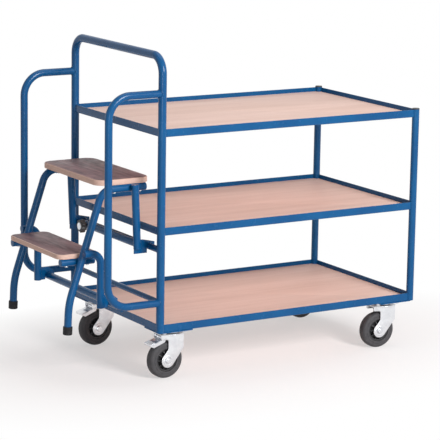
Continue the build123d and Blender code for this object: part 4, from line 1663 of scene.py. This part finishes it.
@dataclass
class ClampKnob(Assembly):
    """Lobed knob, its cap and the threaded screw that presses on the upper bar."""

    body = "clamp"
    knob_r: float = 0.023
    lobe_depth: float = 0.0018
    face_round: float = 0.003
    lobes: int = 7
    thickness: float = 0.018
    cap_r: float = 0.0125
    screw_r: float = 0.004
    pitch: float = 0.00125

    def build(self) -> None:
        """Make knob, cap and screw about the clamp's axis, along -X."""
        (_, *low), (_, *high) = box("clamp_screw")
        centre = point(box("clamp_knob")[1][0], (low[0] + high[0]) / 2, (low[1] + high[1]) / 2)
        self.knob(centre)
        self.cap(centre)
        self.screw(centre)

    def knob(self, centre: Array) -> None:
        """Radius = mean + lobe depth times the cosine of seven turns, rounded at both faces."""
        shape_r = self.knob_r - self.lobe_depth * (1 - np.cos(self.lobes * full_turn(140)))
        thick, (growing, falling) = self.thickness, quarter_round(self.face_round, 7)
        dished = [thick, thick - 0.0008, thick - 0.0008]
        heights = np.concatenate([[0], growing, thick - growing[::-1], dished])
        insets = np.concatenate([[0.010], falling, falling[::-1], [0.0085, 0.0092, self.knob_r]])
        radii = np.maximum(shape_r - insets[:, None], 0)
        radii[[0, -3, -2]] = np.array([0.012, 0.0145, 0.0138])[:, None]
        rings = rings_about(centre - heights[:, None] * X, radii, Y, -Z, 140)
        self.settle(Shape().grid(rings), "lobed_knob", Slot.PLASTIC, "clamp_knob")

    def cap(self, centre: Array) -> None:
        """A pressed disc with a rounded rim in the middle of the knob."""
        quarter = arc(0, 90, 6)
        rim = np.stack([0.001 + 0.001 * np.sin(quarter), self.cap_r - 0.001 * (1 - np.cos(quarter))], 1)
        rows = np.concatenate([[(-0.001, 0), (-0.001, self.cap_r)], rim, [(0.002, 0.004), (0.0019, 0)]])
        shape = lathe(Shape(), rows, centre - self.thickness * X, -X, 48)
        self.settle(shape, "knob_cap_disc", Slot.FASTENER, "clamp_knob_cap")

    def screw(self, centre: Array) -> None:
        """Thread as a fine wave on the radius along the shank, its tip coned."""
        length = box("clamp_screw")[1][0] - centre[0]
        rows = np.arange(0, length - 0.0012, self.pitch / 4)
        wave = self.screw_r - 0.0003 + 0.0003 * np.cos(rows / self.pitch * 2 * np.pi)
        rows = np.concatenate([[(0, 0)], np.stack([rows, wave], 1), [(length, 0.003), (length, 0)]])
        shape = lathe(Shape(), rows, centre, X, 28)
        self.settle(shape, "clamp_screw_threaded", Slot.FASTENER, "clamp_screw", sharp=40)


@dataclass
class BoardScrews(Assembly):
    """The pan-head screws that hold the shelf boards from below."""

    frame: TrolleyFrame
    tiers: list[ShelfTier]
    inset: float = 0.0075
    shares: tuple = (0.25, 0.75)

    def build(self) -> None:
        """One dome head and shank at a quarter and three quarters of each long rail."""
        frame, shape = self.frame, Shape()
        shank = [(0, 0), (0, 0.002), (0.0085, 0.002), (0.009, 0.001), (0.009, 0)]
        for tier in self.tiers:
            for share in self.shares:
                for side in (-1, 1):
                    x = frame.left + (frame.right - frame.left) * share
                    seat = point(x, side * (frame.half - self.inset), tier.base)
                    dome_head(shape, seat, -Z, 0.004, 0.0022, 0.0015)
                    lathe(shape, shank, seat, Z, 16)
        self.settle(shape, "board_screws", Slot.FASTENER, "shelf_screws")


def carried(nodes: dict, record: dict, palette: Palette) -> None:
    """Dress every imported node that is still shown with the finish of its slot."""
    for part in record["subparts"]:
        node = nodes[part["node"]]
        if not node.hide_render:
            palette.dress(node, Slot(part["material_slot"]))


def main() -> None:
    """Load the frame, build each sub-assembly in order and report its pieces."""
    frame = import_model()
    palette = Palette()
    trolley = TrolleyFrame(palette)
    tiers = [ShelfTier(palette, level, trolley) for level in ("lower", "middle", "upper")]
    joints = frame["record"]["behaviour"]["joints"]
    corners = ("near_left", "near_right", "far_left", "far_right")
    places = [CasterPlace.read(name, joints) for name in corners]
    casters = [Caster(palette, place) for place in places]
    screws, heads = BoardScrews(palette, trolley, tiers), CasterHeads(palette, places)
    steps, clamp = StepUnit(palette, trolley), ClampKnob(palette)
    for assembly in (trolley, *tiers, screws, heads, *casters, steps, clamp):
        assembly.build()
        for name in assembly.made:
            log.info("%s: %s", type(assembly).__name__, name)
    carried(frame["nodes"], frame["record"], palette)
    Studio().build()


if __name__ == "__main__":
    logging.basicConfig(level=logging.INFO, format="%(name)s: %(message)s")
    main()
